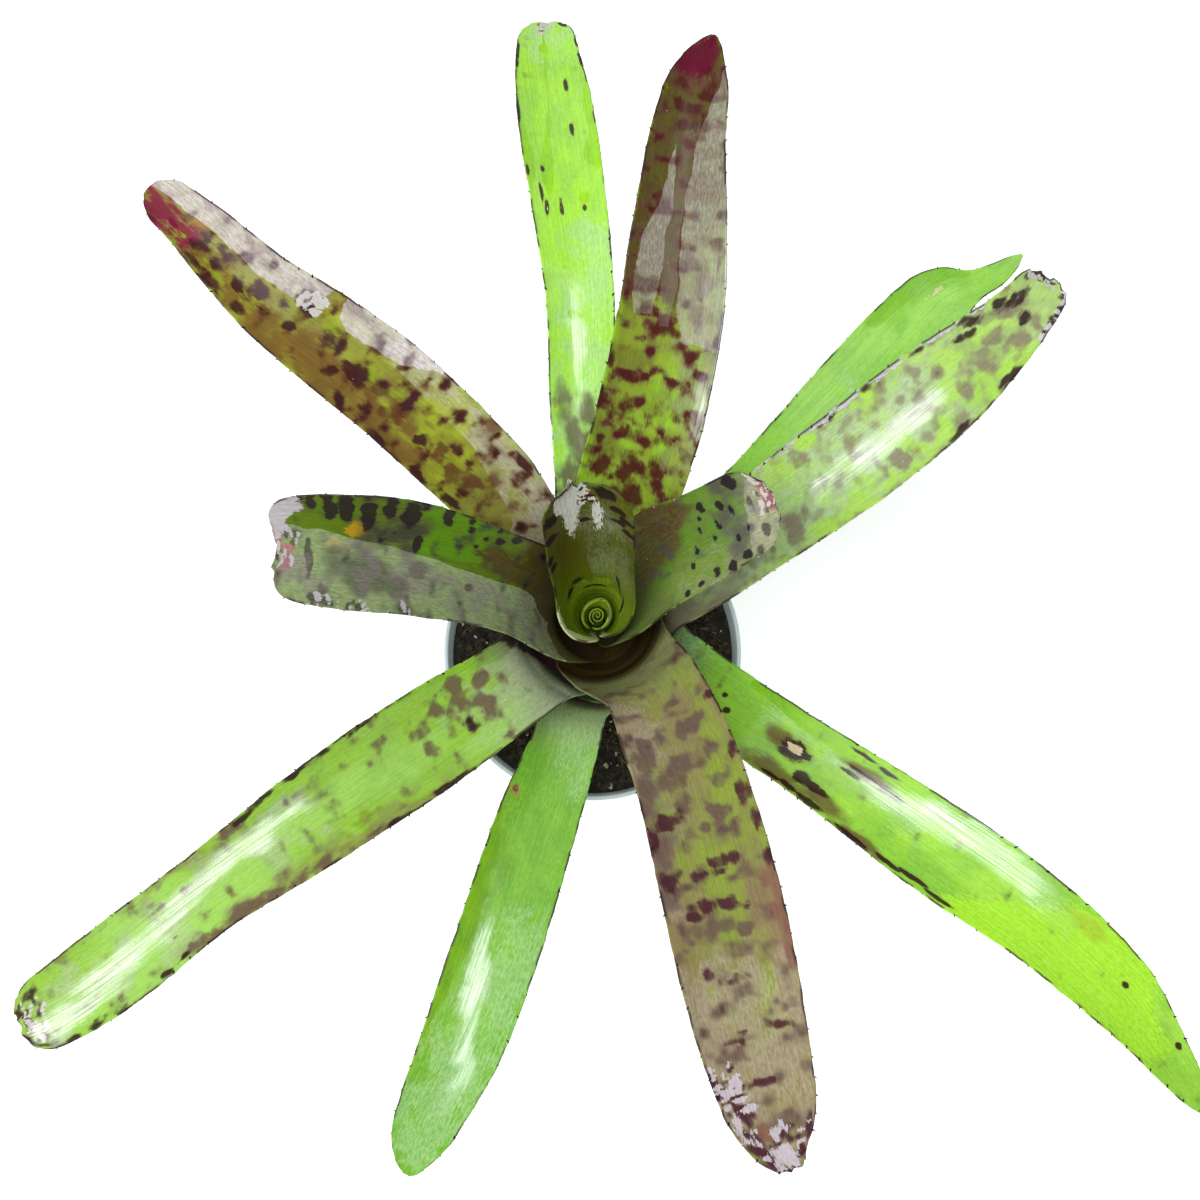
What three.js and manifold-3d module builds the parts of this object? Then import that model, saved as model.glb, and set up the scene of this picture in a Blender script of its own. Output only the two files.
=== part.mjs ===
import * as THREE from 'three';
import Module from 'manifold-3d';

// A tiger bromeliad in a round plastic pot. Millimetres, +Z up.
// The origin is the middle of the pot's underside, on the surface it stands on.
// The plant is a tank rosette: each leaf has a broad sheath that clasps the short stem
// and nests inside the sheaths of the older leaves, then leans out as a strap blade.

// Pot: a 12 cm pot with a collar at its rim and six drain holes.
const POT_HEIGHT = 105;
const RIM_RADIUS = 60;
const BASE_RADIUS = 43;
const WALL = 1.6;
const FLOOR = 2.2;
const COLLAR_HEIGHT = 12;
const COLLAR_STEP = 1.6;
const RIM_LIP = 1.7;
const POT_BEVEL = 0.7;
const POT_SIDES = 56;
const DRAIN_HOLES = 6;
const DRAIN_RADIUS = 4.5;
const DRAIN_CIRCLE = 26;
const DRAIN_SIDES = 14;

// Soil: fills the pot to just under the rim, loose and uneven on top.
const SOIL_TOP = 98;
const GAP = 0.35;
const SOIL_SIDES = POT_SIDES;
const SOIL_RINGS = 5;
const CRUMB_HEIGHT = 0.9;
const COARSE_CRUMB = 3.4;
const FINE_CRUMB = 1.2;

// Stem: a short cone, rooted in a plain hole in the soil. Leaf 0 sits at its top.
const STEM_X = 2;
const STEM_Y = 6;
const ROOT_DEPTH = 24;
const ROOT_TAPER = 0.6;
const STEM_SIDES = 16;
const ATTACH_TOP = 46;
const ATTACH_STEP = 3.7;
const STEM_TOP_RADIUS = 3.6;
const STEM_STEP = 0.78;
const STEM_CLEARANCE = [1.4, 1.8];

// Leaves
const SHEATH_THICKNESS = 1.0;
const BLADE_THICKNESS = 1.3;
const MARGIN_THICKNESS = 0.7;
const SHEATH_COLUMNS = 8;
const SHEATH_ROWS = 5;
const LIP_BEFORE = 12;
const LIP_AFTER = 26;
const SPINE_PITCH = 13;
const SPINE_ROOT = 2.2;
const SPINE_LEAN = 0.8;
const SPINE_LENGTH = 1.7;
const SPINES_START = -2;
const ROW_CROWDING = 0.96;
const TIP_CLEAR = 2;
const TIP_SPIKE = 1.6;
const MARGIN_STRIP = 0.1;
const TANGENT_STEP = 1.5;
const LEAST_LEAN = 0.4;
const FOLD_SOFTNESS = 0.2;
const SECTION_STEPS = 12;
const CURVE_STEPS = 40;

// Each leaf: rank counts from the youngest, innermost one outwards.
// heading is where its sheath stands, in degrees from +X towards +Y.
// mouth is [radius, height over the soil] where the sheath ends, and wrap the half angle
// that the sheath clasps at its foot, half way up and at its mouth.
// path rows are [out along the heading, left of it, height over the soil, half width].
// tip is [length of its rounding, its power]: 2 is an ellipse, more is blunter.
// arc, fold and roll are degrees, from the mouth to the tip.
const LEAVES = [
  {
    name: 'spear', rank: 0, heading: 60, mouth: [4.6, 54], wrap: [160, 175, 180], curl: 0.1,
    path: [[5.2, 0, 57, 13], [5.8, 0, 60, 8]],
    tip: [4, 2], arc: [150, 120], fold: [0, 0], roll: [0, 0], columns: 8, colour: 0x86a020,
  },
  {
    name: 'leaf_cup', rank: 1, heading: 95, mouth: [9.3, 66], wrap: [160, 178, 165], curl: 0.08,
    path: [[12, 0, 82, 19], [20, 1, 98, 18.5], [28, 1, 112, 17.5], [33, 2, 121, 16]],
    tip: [9, 2.6], arc: [85, 55], fold: [0, 0], roll: [0, 0], columns: 8, colour: 0x6c7a1c,
  },
  {
    name: 'leaf_short_right', rank: 2, heading: 25, mouth: [13, 62], wrap: [120, 105, 76],
    path: [[27, 5, 75, 19], [44, 4, 88, 17], [59, 4, 97, 15.5], [68, 4, 101, 14]],
    tip: [12, 2.6], arc: [45, 30], fold: [0, 0], roll: [0, 0], columns: 8, colour: 0x5d7a34,
  },
  {
    name: 'leaf_short_left', rank: 3, heading: 172, mouth: [18, 58], wrap: [120, 100, 75],
    path: [[32, -3, 77, 19], [62, -5, 95, 21], [85, -3, 102, 21], [101, -2, 101, 19], [110, -2, 96, 16]],
    tip: [12, 2], arc: [30, 15], fold: [15, 20], roll: [-8, -20], columns: 8, colour: 0x566a3a,
  },
  {
    name: 'leaf_banded_front', rank: 4, heading: 300, mouth: [25.5, 52], wrap: [120, 80, 50],
    path: [
      [35, 3, 66, 18], [54, 0, 78, 19], [79, -6, 89, 19], [110, -16, 99, 19.5],
      [145, -28, 104, 17.5], [177, -36.5, 101, 13], [188.5, -36, 98, 9.5],
    ],
    tip: [24, 1.8], arc: [35, 15], fold: [0, 0], roll: [0, 0], columns: 4, colour: 0x7b7a52,
  },
  {
    name: 'leaf_spotted_back', rank: 5, heading: 80, mouth: [27.5, 48], wrap: [110, 80, 50],
    path: [
      [34, -2, 61, 20], [50, -4, 72, 20], [72, -7, 85, 20], [104, -8, 98, 19],
      [135, -5.5, 108, 16.5], [160, -3.5, 114, 13.5], [181, -4, 118, 10.8], [196, -6.5, 120, 8],
    ],
    tip: [22, 1.7], arc: [35, 30], fold: [0, 0], roll: [0, 0], columns: 4, colour: 0x6b6a3c,
  },
  {
    name: 'leaf_front_left', rank: 6, heading: 215, mouth: [29, 42], wrap: [110, 70, 40],
    path: [
      [39, 3, 52, 17], [78, 4, 64, 19], [121, 5, 76, 17.5], [162, 6, 81, 14],
      [202, 8, 78, 14.5], [228, 7, 72, 13], [242, 4, 67, 12],
    ],
    tip: [18, 2.4], arc: [35, 18], fold: [0, 0], roll: [0, 0], columns: 4, colour: 0x86b846,
  },
  {
    name: 'leaf_mottled_right', rank: 7, heading: 33, mouth: [29.5, 38], wrap: [110, 70, 40],
    path: [
      [48, -5, 50, 17], [79, -5, 63, 18], [110, -5, 78, 18.5], [140, -3, 90, 17.5],
      [165, 0, 96, 13.5], [183, 4, 98, 10.3], [195, 8.5, 97, 9],
    ],
    tip: [8, 2.3], arc: [30, 20], fold: [0, 0], roll: [0, 0], columns: 4, colour: 0x8fa86a,
  },
  {
    name: 'leaf_spotted_left', rank: 8, heading: 130, mouth: [30, 34], wrap: [110, 70, 40],
    path: [
      [42, 0, 46, 17], [66, -1, 56, 18], [107, 6, 76, 18.3], [135, 14, 90, 17],
      [157, 20.5, 100, 14], [185, 24, 108, 10.5], [206, 28, 112, 7.6],
    ],
    tip: [10, 2], arc: [30, 25], fold: [0, 0], roll: [0, 0], columns: 4, colour: 0x7f7a3c,
  },
  {
    name: 'leaf_glossy_right', rank: 9, heading: 325, mouth: [31, 30], wrap: [110, 80, 40],
    path: [
      [47, 1, 43, 15], [90, 0, 60, 14], [141, -2, 74, 16], [179, -3, 80, 15],
      [215, -7, 78, 13], [243, -15, 73, 8], [268, -23, 66, 3],
    ],
    tip: [14, 1.5], arc: [25, 20], fold: [0, 0], roll: [0, 0], columns: 4, colour: 0x86cc3a,
  },
  {
    name: 'leaf_lime_back', rank: 10, heading: 95, mouth: [32, 27], wrap: [105, 60, 30],
    path: [
      [50, -2, 41, 14], [84, -2, 52, 13], [122, -4, 60, 13], [157, -3, 63, 14.5],
      [196, -1, 61, 15], [226, 0, 56, 12.5], [244, -1, 51, 10],
    ],
    tip: [12, 2.4], arc: [25, 20], fold: [0, 0], roll: [0, 0], columns: 4, colour: 0x98e05a,
  },
  {
    name: 'leaf_plain_front', rank: 11, heading: 250, mouth: [33.5, 23], wrap: [105, 60, 28],
    path: [
      [46, 4, 35, 13], [78, 5, 46, 15], [125, 7.4, 56, 15.4], [159, 7.4, 57, 14.3],
      [191, 4.6, 53, 10.6], [206, 5, 49, 8],
    ],
    tip: [20, 1.8], arc: [25, 15], fold: [0, 0], roll: [0, 0], columns: 4, colour: 0x6fae3c,
  },
  {
    name: 'leaf_plain_right', rank: 12, heading: 38, mouth: [35, 20], wrap: [105, 60, 30],
    path: [
      [52, -2, 31, 16], [86, 1, 40, 16], [139, 8, 52, 17.5], [170, 13.5, 58, 15.3],
      [181, 14, 60, 12], [191, 11.6, 60, 6.2], [202, 9.6, 59, 4.4], [215, 10, 58, 1.6],
    ],
    tip: [6, 1.6], arc: [25, 20], fold: [0, 0], roll: [0, 0], columns: 4, colour: 0x78c03c,
  },
];

const OUTER_RANK = LEAVES.length - 1;
const { lerp, degToRad, smoothstep } = THREE.MathUtils;
const wasm = await Module();
wasm.setup();

// Closed solids from rings of points

function solidGeometry(points, triangles) {
  const geometry = new THREE.BufferGeometry();
  geometry.setAttribute('position', new THREE.Float32BufferAttribute(points.flat(), 3));
  geometry.setIndex(triangles.flat());
  geometry.computeVertexNormals();
  return geometry;
}

// Turns a profile of [radius, height] points, from the axis below round the outside to the
// axis above, about a vertical axis through (x, y). lift(x, y, radius, height) raises one.
function turned(profile, sides, x, y, lift = () => 0) {
  const points = [];
  const rings = profile.map(([radius, height]) => {
    const ring = [];
    for (let i = 0; i < sides; i += 1) {
      if (i === 0 || radius > 0) {
        const turn = (2 * Math.PI * i) / sides;
        const px = x + radius * Math.cos(turn);
        const py = y + radius * Math.sin(turn);
        points.push([px, py, height + lift(px, py, radius, height)]);
      }
      ring.push(points.length - 1);
    }
    return ring;
  });
  const triangles = [];
  for (let r = 0; r + 1 < rings.length; r += 1) {
    for (let i = 0; i < sides; i += 1) {
      const next = (i + 1) % sides;
      const [a, b] = [rings[r][i], rings[r][next]];
      const [c, d] = [rings[r + 1][i], rings[r + 1][next]];
      if (a !== b) triangles.push([a, b, d]);
      if (c !== d) triangles.push([a, d, c]);
    }
  }
  return solidGeometry(points, triangles);
}

function toManifold(geometry) {
  const vertProperties = new Float32Array(geometry.getAttribute('position').array);
  const triVerts = new Uint32Array(geometry.getIndex().array);
  return new wasm.Manifold(new wasm.Mesh({ numProp: 3, vertProperties, triVerts }));
}

function fromManifold(solid) {
  const mesh = solid.getMesh();
  const geometry = new THREE.BufferGeometry();
  geometry.setAttribute('position', new THREE.BufferAttribute(mesh.vertProperties, 3));
  geometry.setIndex(new THREE.BufferAttribute(mesh.triVerts, 1));
  geometry.computeVertexNormals();
  return geometry;
}

// Pot

// Inside radius of the pot at a height.
function innerRadius(height) {
  return lerp(BASE_RADIUS - WALL, RIM_RADIUS - RIM_LIP, height / POT_HEIGHT);
}

function potGeometry() {
  const bevel = POT_BEVEL;
  const collarFoot = POT_HEIGHT - COLLAR_HEIGHT;
  const wallTop = collarFoot - COLLAR_STEP;
  const profile = [
    [0, 0],
    [BASE_RADIUS - bevel, 0],
    [BASE_RADIUS, bevel],
    [innerRadius(wallTop) + WALL, wallTop],
    [RIM_RADIUS - bevel, collarFoot],
    [RIM_RADIUS, POT_HEIGHT - bevel],
    [RIM_RADIUS - bevel, POT_HEIGHT],
    [innerRadius(POT_HEIGHT), POT_HEIGHT],
    [innerRadius(FLOOR), FLOOR],
    [0, FLOOR],
  ];
  let pot = toManifold(turned(profile, POT_SIDES, 0, 0));
  for (let i = 0; i < DRAIN_HOLES; i += 1) {
    const turn = (2 * Math.PI * i) / DRAIN_HOLES;
    const cut = [[0, -1], [DRAIN_RADIUS, -1], [DRAIN_RADIUS, FLOOR + 1], [0, FLOOR + 1]];
    const x = DRAIN_CIRCLE * Math.cos(turn);
    const y = DRAIN_CIRCLE * Math.sin(turn);
    pot = pot.subtract(toManifold(turned(cut, DRAIN_SIDES, x, y)));
  }
  return fromManifold(pot);
}

// Stem and soil

function attachHeight(rank) {
  return ATTACH_TOP - ATTACH_STEP * rank;
}

function attachRadius(rank) {
  return STEM_TOP_RADIUS + STEM_STEP * rank;
}

// The stem runs just inside the feet of the sheaths, which slope more the older they are.
function stemRadius(rank) {
  const [young, old] = STEM_CLEARANCE;
  return attachRadius(rank) - lerp(young, old, rank / OUTER_RANK);
}

function stemGeometry() {
  const foot = stemRadius(OUTER_RANK);
  const profile = [
    [0, SOIL_TOP - ROOT_DEPTH],
    [foot * ROOT_TAPER, SOIL_TOP - ROOT_DEPTH],
    [foot, SOIL_TOP - ROOT_DEPTH / 2],
    [foot, SOIL_TOP + attachHeight(OUTER_RANK)],
    [stemRadius(0), SOIL_TOP + attachHeight(0)],
    [0, SOIL_TOP + attachHeight(0) + 1],
  ];
  return turned(profile, STEM_SIDES, STEM_X, STEM_Y);
}

// Uneven crumbs on top of the soil, level where it meets the pot and the stem.
function soilLift(x, y, radius, height) {
  if (height < SOIL_TOP || radius >= innerRadius(SOIL_TOP) - GAP) return 0;
  const coarse = Math.sin(x / COARSE_CRUMB + 1) * Math.cos(y / COARSE_CRUMB);
  const fine = Math.sin((x - y) / FINE_CRUMB) * Math.cos(y / FINE_CRUMB + 2);
  return CRUMB_HEIGHT * (coarse + fine / 2);
}

function soilGeometry() {
  const outer = innerRadius(SOIL_TOP) - GAP;
  const low = FLOOR + GAP;
  const profile = [[0, low], [innerRadius(low) - GAP, low], [outer, SOIL_TOP]];
  for (let ring = 1; ring <= SOIL_RINGS; ring += 1) {
    profile.push([outer * (1 - ring / (SOIL_RINGS + 1)), SOIL_TOP]);
  }
  profile.push([0, SOIL_TOP]);
  const hole = stemRadius(OUTER_RANK) + GAP;
  const floor = SOIL_TOP - ROOT_DEPTH - GAP;
  const cut = [[0, floor], [hole, floor], [hole, SOIL_TOP + 10], [0, SOIL_TOP + 10]];
  const soil = toManifold(turned(profile, SOIL_SIDES, 0, 0, soilLift));
  return fromManifold(soil.subtract(toManifold(turned(cut, STEM_SIDES, STEM_X, STEM_Y))));
}

// Leaves

// Value at t from b to c, on a smooth curve that a and d belong to as well.
function smoothBetween(a, b, c, d, t) {
  const leaving = (c - a) / 2;
  const arriving = (d - b) / 2;
  const cubic = 2 * b - 2 * c + leaving + arriving;
  const square = -3 * b + 3 * c - 2 * leaving - arriving;
  return ((cubic * t + square) * t + leaving) * t + b;
}

// A bowl: the sheath leaves the stem sloping outwards and stands upright at its mouth.
function sheathRadius(leaf, height) {
  const low = attachHeight(leaf.rank);
  const [mouthRadius, mouthHeight] = leaf.mouth;
  const rise = (height - low) / (mouthHeight - low);
  return lerp(attachRadius(leaf.rank), mouthRadius, Math.sin((Math.PI / 2) * rise));
}

// The midrib: closely spaced points of [x, y, z, half width] and the run to each of them.
function midrib(leaf) {
  const low = attachHeight(leaf.rank);
  const mouthHeight = leaf.mouth[1];
  const sheath = [0, 0.5, 1].map((part, i) => {
    const height = lerp(low, mouthHeight, part);
    const radius = sheathRadius(leaf, height);
    return [radius, 0, height, radius * degToRad(leaf.wrap[i])];
  });
  const turn = degToRad(leaf.heading);
  const [c, s] = [Math.cos(turn), Math.sin(turn)];
  const knots = [...sheath, ...leaf.path].map(([out, left, up, half]) => [
    STEM_X + out * c - left * s, STEM_Y + out * s + left * c, SOIL_TOP + up, half,
  ]);
  const beyond = (near, far) => near.map((value, k) => 2 * value - far[k]);
  const all = [beyond(knots[0], knots[1]), ...knots, beyond(knots.at(-1), knots.at(-2))];
  const points = [];
  for (let i = 1; i + 2 < all.length; i += 1) {
    for (let step = 0; step < CURVE_STEPS; step += 1) {
      points.push(all[i].map((value, k) => (
        smoothBetween(all[i - 1][k], value, all[i + 1][k], all[i + 2][k], step / CURVE_STEPS)
      )));
    }
  }
  points.push(knots.at(-1));
  const runs = [0];
  for (let i = 1; i < points.length; i += 1) {
    const [p, q] = [points[i - 1], points[i]];
    runs.push(runs.at(-1) + Math.hypot(q[0] - p[0], q[1] - p[1], q[2] - p[2]));
  }
  return { points, runs, length: runs.at(-1), mouthRun: runs[2 * CURVE_STEPS], turn };
}

function pointAlong(rib, run) {
  const aim = THREE.MathUtils.clamp(run, 0, rib.length);
  let i = 1;
  while (i < rib.runs.length - 1 && rib.runs[i] < aim) i += 1;
  const part = (aim - rib.runs[i - 1]) / (rib.runs[i] - rib.runs[i - 1]);
  return rib.points[i - 1].map((value, k) => lerp(value, rib.points[i][k], part));
}

// Half width, rounded off at the tip.
function halfWidth(leaf, rib, run) {
  const [length, power] = leaf.tip;
  const part = THREE.MathUtils.clamp((run - rib.length + length) / length, 0, 1);
  return pointAlong(rib, run)[3] * (1 - part ** power) ** (1 / power);
}

// The frame of the section at a run: level in the sheath, square to the midrib in the blade.
// lean is the cosine between the section's up and the leaf's own upward direction.
function sectionFrame(leaf, rib, run) {
  const here = pointAlong(rib, run);
  const before = pointAlong(rib, run - TANGENT_STEP);
  const after = pointAlong(rib, run + TANGENT_STEP);
  const along = new THREE.Vector3(
    after[0] - before[0], after[1] - before[1], after[2] - before[2],
  ).normalize();
  const left = new THREE.Vector3(-Math.sin(rib.turn), Math.cos(rib.turn), 0);
  const inward = new THREE.Vector3(-Math.cos(rib.turn), -Math.sin(rib.turn), 0);
  const bladeLeft = left.clone().addScaledVector(along, -left.dot(along)).normalize();
  const bladeUp = along.clone().cross(bladeLeft);
  const blade = smoothstep(run, rib.mouthRun - LIP_BEFORE, rib.mouthRun + LIP_AFTER);
  const part = Math.max(0, (run - rib.mouthRun) / (rib.length - rib.mouthRun));
  const side = left.lerp(bladeLeft, blade).normalize();
  const up = inward.lerp(bladeUp, blade).normalize();
  up.addScaledVector(side, -up.dot(side)).normalize();
  const axis = side.clone().cross(up);
  const roll = degToRad(lerp(leaf.roll[0], leaf.roll[1], part)) * blade;
  side.applyAxisAngle(axis, roll);
  up.applyAxisAngle(axis, roll);
  const middle = new THREE.Vector3(here[0], here[1], here[2]);
  const lean = Math.max(LEAST_LEAN, up.dot(bladeUp));
  return { middle, side, up, lean, blade, part, along };
}

// A point of the leaf: across from -1 to 1, lift off the middle surface.
function leafPoint(leaf, rib, run, across, lift) {
  const { middle, side, up, lean, blade, part } = sectionFrame(leaf, rib, run);
  const half = halfWidth(leaf, rib, run);
  const radius = Math.hypot(middle.x - STEM_X, middle.y - STEM_Y);
  const wrap = blade < 1 ? half / radius : 0;
  const arc = lerp(wrap, degToRad(lerp(leaf.arc[0], leaf.arc[1], part)), blade);
  const fold = degToRad(lerp(leaf.fold[0], leaf.fold[1], part)) * blade;
  const tilt = (t) => arc * t + (fold * t) / Math.hypot(t, FOLD_SOFTNESS);
  const reach = Math.abs(across);
  let [x, y] = [0, 0];
  for (let i = 0; i < SECTION_STEPS; i += 1) {
    const angle = tilt((reach * (i + 0.5)) / SECTION_STEPS);
    x += (Math.cos(angle) * reach) / SECTION_STEPS;
    y += (Math.sin(angle) * reach) / SECTION_STEPS;
  }
  const sign = Math.sign(across);
  const angle = sign * tilt(reach);
  const point = middle.clone()
    .addScaledVector(side, sign * x * half - (Math.sin(angle) * lift) / lean)
    .addScaledVector(up, y * half + (Math.cos(angle) * lift) / lean);
  const curl = 1 + (leaf.curl ?? 0) * across * (1 - blade);
  point.x = STEM_X + (point.x - STEM_X) * curl;
  point.y = STEM_Y + (point.y - STEM_Y) * curl;
  return point;
}

function thickness(blade, across) {
  const middle = lerp(SHEATH_THICKNESS, BLADE_THICKNESS, blade);
  return lerp(middle, MARGIN_THICKNESS, Math.abs(across) ** 2);
}

// Rows of the leaf: plain ones in the sheath, then pairs that hold a spine between them.
function leafRows(leaf, rib) {
  const rows = [];
  const first = rib.mouthRun + SPINES_START;
  for (let i = 0; i < SHEATH_ROWS; i += 1) {
    rows.push({ run: (first * i) / SHEATH_ROWS, columns: SHEATH_COLUMNS, spine: false });
  }
  const last = rib.length - TIP_SPIKE;
  const pairs = Math.round((last - first) / SPINE_PITCH);
  for (let i = 0; i < pairs; i += 1) {
    const part = (i / pairs) ** ROW_CROWDING;
    const run = lerp(first, last - TIP_CLEAR, part);
    const columns = i === 0 ? SHEATH_COLUMNS : leaf.columns;
    rows.push({ run, columns, spine: i > 0 });
    if (i > 0) rows.push({ run: run + SPINE_ROOT, columns: leaf.columns, spine: false });
  }
  rows.push({ run: last, columns: leaf.columns, spine: false });
  return rows;
}

// Joins two lines of point numbers, the second as fine as the first or half as fine.
function stitch(lower, upper, triangles, flip) {
  const ratio = (lower.length - 1) / (upper.length - 1);
  const add = (a, b, c) => triangles.push(flip ? [a, c, b] : [a, b, c]);
  for (let i = 0; i + 1 < upper.length; i += 1) {
    const a = lower.slice(i * ratio, (i + 1) * ratio + 1);
    const [c, d] = [upper[i], upper[i + 1]];
    add(a[0], a[1], c);
    if (ratio === 2) add(a[1], a[2], d);
    add(a[1], d, c);
  }
}

function leafGeometry(leaf) {
  const rib = midrib(leaf);
  const points = [];
  const triangles = [];
  const keep = (point) => points.push(point.toArray()) - 1;
  const lines = leafRows(leaf, rib).map(({ run, columns, spine }) => {
    const { blade, along } = sectionFrame(leaf, rib, run);
    const inner = [];
    const outer = [];
    for (let j = 0; j <= columns; j += 1) {
      const across = (2 * j) / columns - 1;
      const half = thickness(blade, across) / 2;
      inner.push(keep(leafPoint(leaf, rib, run, across, half)));
      outer.push(keep(leafPoint(leaf, rib, run, across, -half)));
    }
    return { inner, outer, spine, run, along };
  });
  for (let r = 0; r + 1 < lines.length; r += 1) {
    const [low, high] = [lines[r], lines[r + 1]];
    stitch(low.inner, high.inner, triangles, true);
    stitch(low.outer, high.outer, triangles, false);
    for (const end of [0, -1]) {
      const corners = [low.inner.at(end), low.outer.at(end), high.outer.at(end), high.inner.at(end)];
      const ring = end === 0 ? corners : corners.reverse();
      if (low.spine) {
        const run = low.run + SPINE_ROOT * SPINE_LEAN;
        const margin = end === 0 ? -1 : 1;
        const edge = leafPoint(leaf, rib, run, margin, 0);
        const within = leafPoint(leaf, rib, run, margin * (1 - MARGIN_STRIP), 0);
        const away = edge.clone().sub(within).normalize();
        const apex = keep(edge.addScaledVector(away, SPINE_LENGTH));
        ring.forEach((corner, i) => triangles.push([corner, ring[(i + 1) % 4], apex]));
      } else {
        triangles.push([ring[0], ring[1], ring[2]], [ring[0], ring[2], ring[3]]);
      }
    }
  }
  // the foot is a strip, and the tip closes on a short spike
  const [foot, end] = [lines[0], lines.at(-1)];
  stitch(foot.outer, foot.inner, triangles, true);
  const spike = keep(leafPoint(leaf, rib, end.run, 0, 0).addScaledVector(end.along, TIP_SPIKE));
  const loop = [...end.inner, ...end.outer.reverse()];
  loop.forEach((corner, i) => triangles.push([corner, spike, loop[(i + 1) % loop.length]]));
  return solidGeometry(points, triangles);
}

// The plant in its pot

function part(name, geometry, colour, roughness) {
  const material = new THREE.MeshStandardMaterial({ color: colour, roughness, metalness: 0 });
  const mesh = new THREE.Mesh(geometry, material);
  mesh.name = name;
  return mesh;
}

const group = new THREE.Group();
group.add(part('pot', potGeometry(), 0xe6ebf2, 0.35));
group.add(part('soil', soilGeometry(), 0x17140f, 0.95));
group.add(part('stem', stemGeometry(), 0x6a5a34, 0.8));
for (const leaf of LEAVES) {
  group.add(part(leaf.name, leafGeometry(leaf), leaf.colour, 0.4));
}

export default group;
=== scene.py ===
import math
from collections import namedtuple
from functools import lru_cache
import bpy
import numpy as np
from mathutils import Euler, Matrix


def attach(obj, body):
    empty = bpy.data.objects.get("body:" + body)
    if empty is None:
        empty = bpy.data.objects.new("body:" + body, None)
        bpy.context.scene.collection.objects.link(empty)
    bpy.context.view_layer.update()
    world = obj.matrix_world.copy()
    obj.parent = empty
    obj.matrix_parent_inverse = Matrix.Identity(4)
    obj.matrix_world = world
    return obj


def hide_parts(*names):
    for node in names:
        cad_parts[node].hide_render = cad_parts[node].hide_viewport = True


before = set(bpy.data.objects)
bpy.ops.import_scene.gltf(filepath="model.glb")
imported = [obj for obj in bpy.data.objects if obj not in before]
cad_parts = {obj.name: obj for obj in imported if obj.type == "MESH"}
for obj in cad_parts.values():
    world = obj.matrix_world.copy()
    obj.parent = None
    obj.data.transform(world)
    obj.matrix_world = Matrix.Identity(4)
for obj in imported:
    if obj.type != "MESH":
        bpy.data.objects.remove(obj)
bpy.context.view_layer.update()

# A potted tiger bromeliad. Sizes are millimetres here, and metres once a mesh is made.

MM = 0.001
FULL_TURN = 2 * math.pi
NOISE_CELLS = 64

# The rules of the leaves' CAD solids: where a sheath sits on the stem, how thick a leaf is, and
# how its section goes from the rolled sheath to the open blade.
SOIL_TOP = 98.0
STEM = np.array([2.0, 6.0])
ATTACH_TOP = 46.0
ATTACH_STEP = 3.7
STEM_TOP_RADIUS = 3.6
STEM_STEP = 0.78
SHEATH_THICKNESS = 1.0
BLADE_THICKNESS = 1.3
MARGIN_THICKNESS = 0.7
LIP_BEFORE = 12.0
LIP_AFTER = 26.0
LEAST_LEAN = 0.4
FOLD_SOFTNESS = 0.2
SECTION_STEPS = 12
CURVE_STEPS = 40
TANGENT_STEP = 1.5

# The finer mesh of a leaf. Depths of its unevenness come with the length of one bump.
ROW_PITCH = 0.85
TIP_ROWS = 16
COLUMNS = 58
UNDER_COLUMNS = 16
MARGIN_CROWDING = 1.2
THIN_HALF_WIDTH = 4.0
LEAST_THIN = 0.35
RAGGED, RAGGED_LENGTH = 0.5, 3.4
WAVE, WAVE_LENGTH = 1.1, 21
PUCKER, PUCKER_LENGTH = 0.5, 13
EDGE_BULGE = 0.28
FRAY_START = 9
FRAY_FULL = 1
SPINE_PITCH = 6.8
SPINE_LENGTH = 1.1
SPINE_SIDES = 6
SPINE_RINGS = ((0, 0.55), (0.45, 0.32), (0.8, 0.14))

# Glossy and dry skin, and the colours that all leaves share
MAUVE = "#857078"
DOT_COLOUR = "#e8ead8"
UNDER_COLOUR = "#6f7d5a"
RIM_COLOUR = "#34201c"
DRY_ROUGHNESS = 0.78
WET_ROUGHNESS = 0.5
SKIN_SPECULAR = 0.12
WET_COAT = 0.08
COAT_ROUGHNESS = 0.2
COAT_IOR = 2.3

# The pot, the soil in it and the stem
POT_HEIGHT = 105.0
RIM_RADIUS = 60.0
BASE_RADIUS = 43.0
WALL = 1.6
FLOOR = 2.2
RIM_LIP = 1.7
COLLAR_HEIGHT = 12
COLLAR_STEP = 1.6
MIDDLE_RADIUS = 8
RECESS_RADIUS, RECESS_DEPTH = 12, 0.8
DRAIN_HOLES = 6
DRAIN_RADIUS = 4.5
DRAIN_CIRCLE = 26
POT_SIDES = 144
DRAIN_SIDES = 28
SOIL_GAP = 0.35
SOIL_SIDES, SOIL_RINGS = 220, 90
SOIL_MIDDLE = 0.0006
SOIL_WAVE, SOIL_WAVE_LENGTH = 3.2, 7
SOIL_LUMP, SOIL_LUMP_LENGTH = 1.2, 1.7
SOIL_EDGE = 4
LITTER_RADIUS = 55.5
STEM_CLEARANCE = 13.5
STEM_DEPTH = 24
STEM_SIDES = 48

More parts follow.
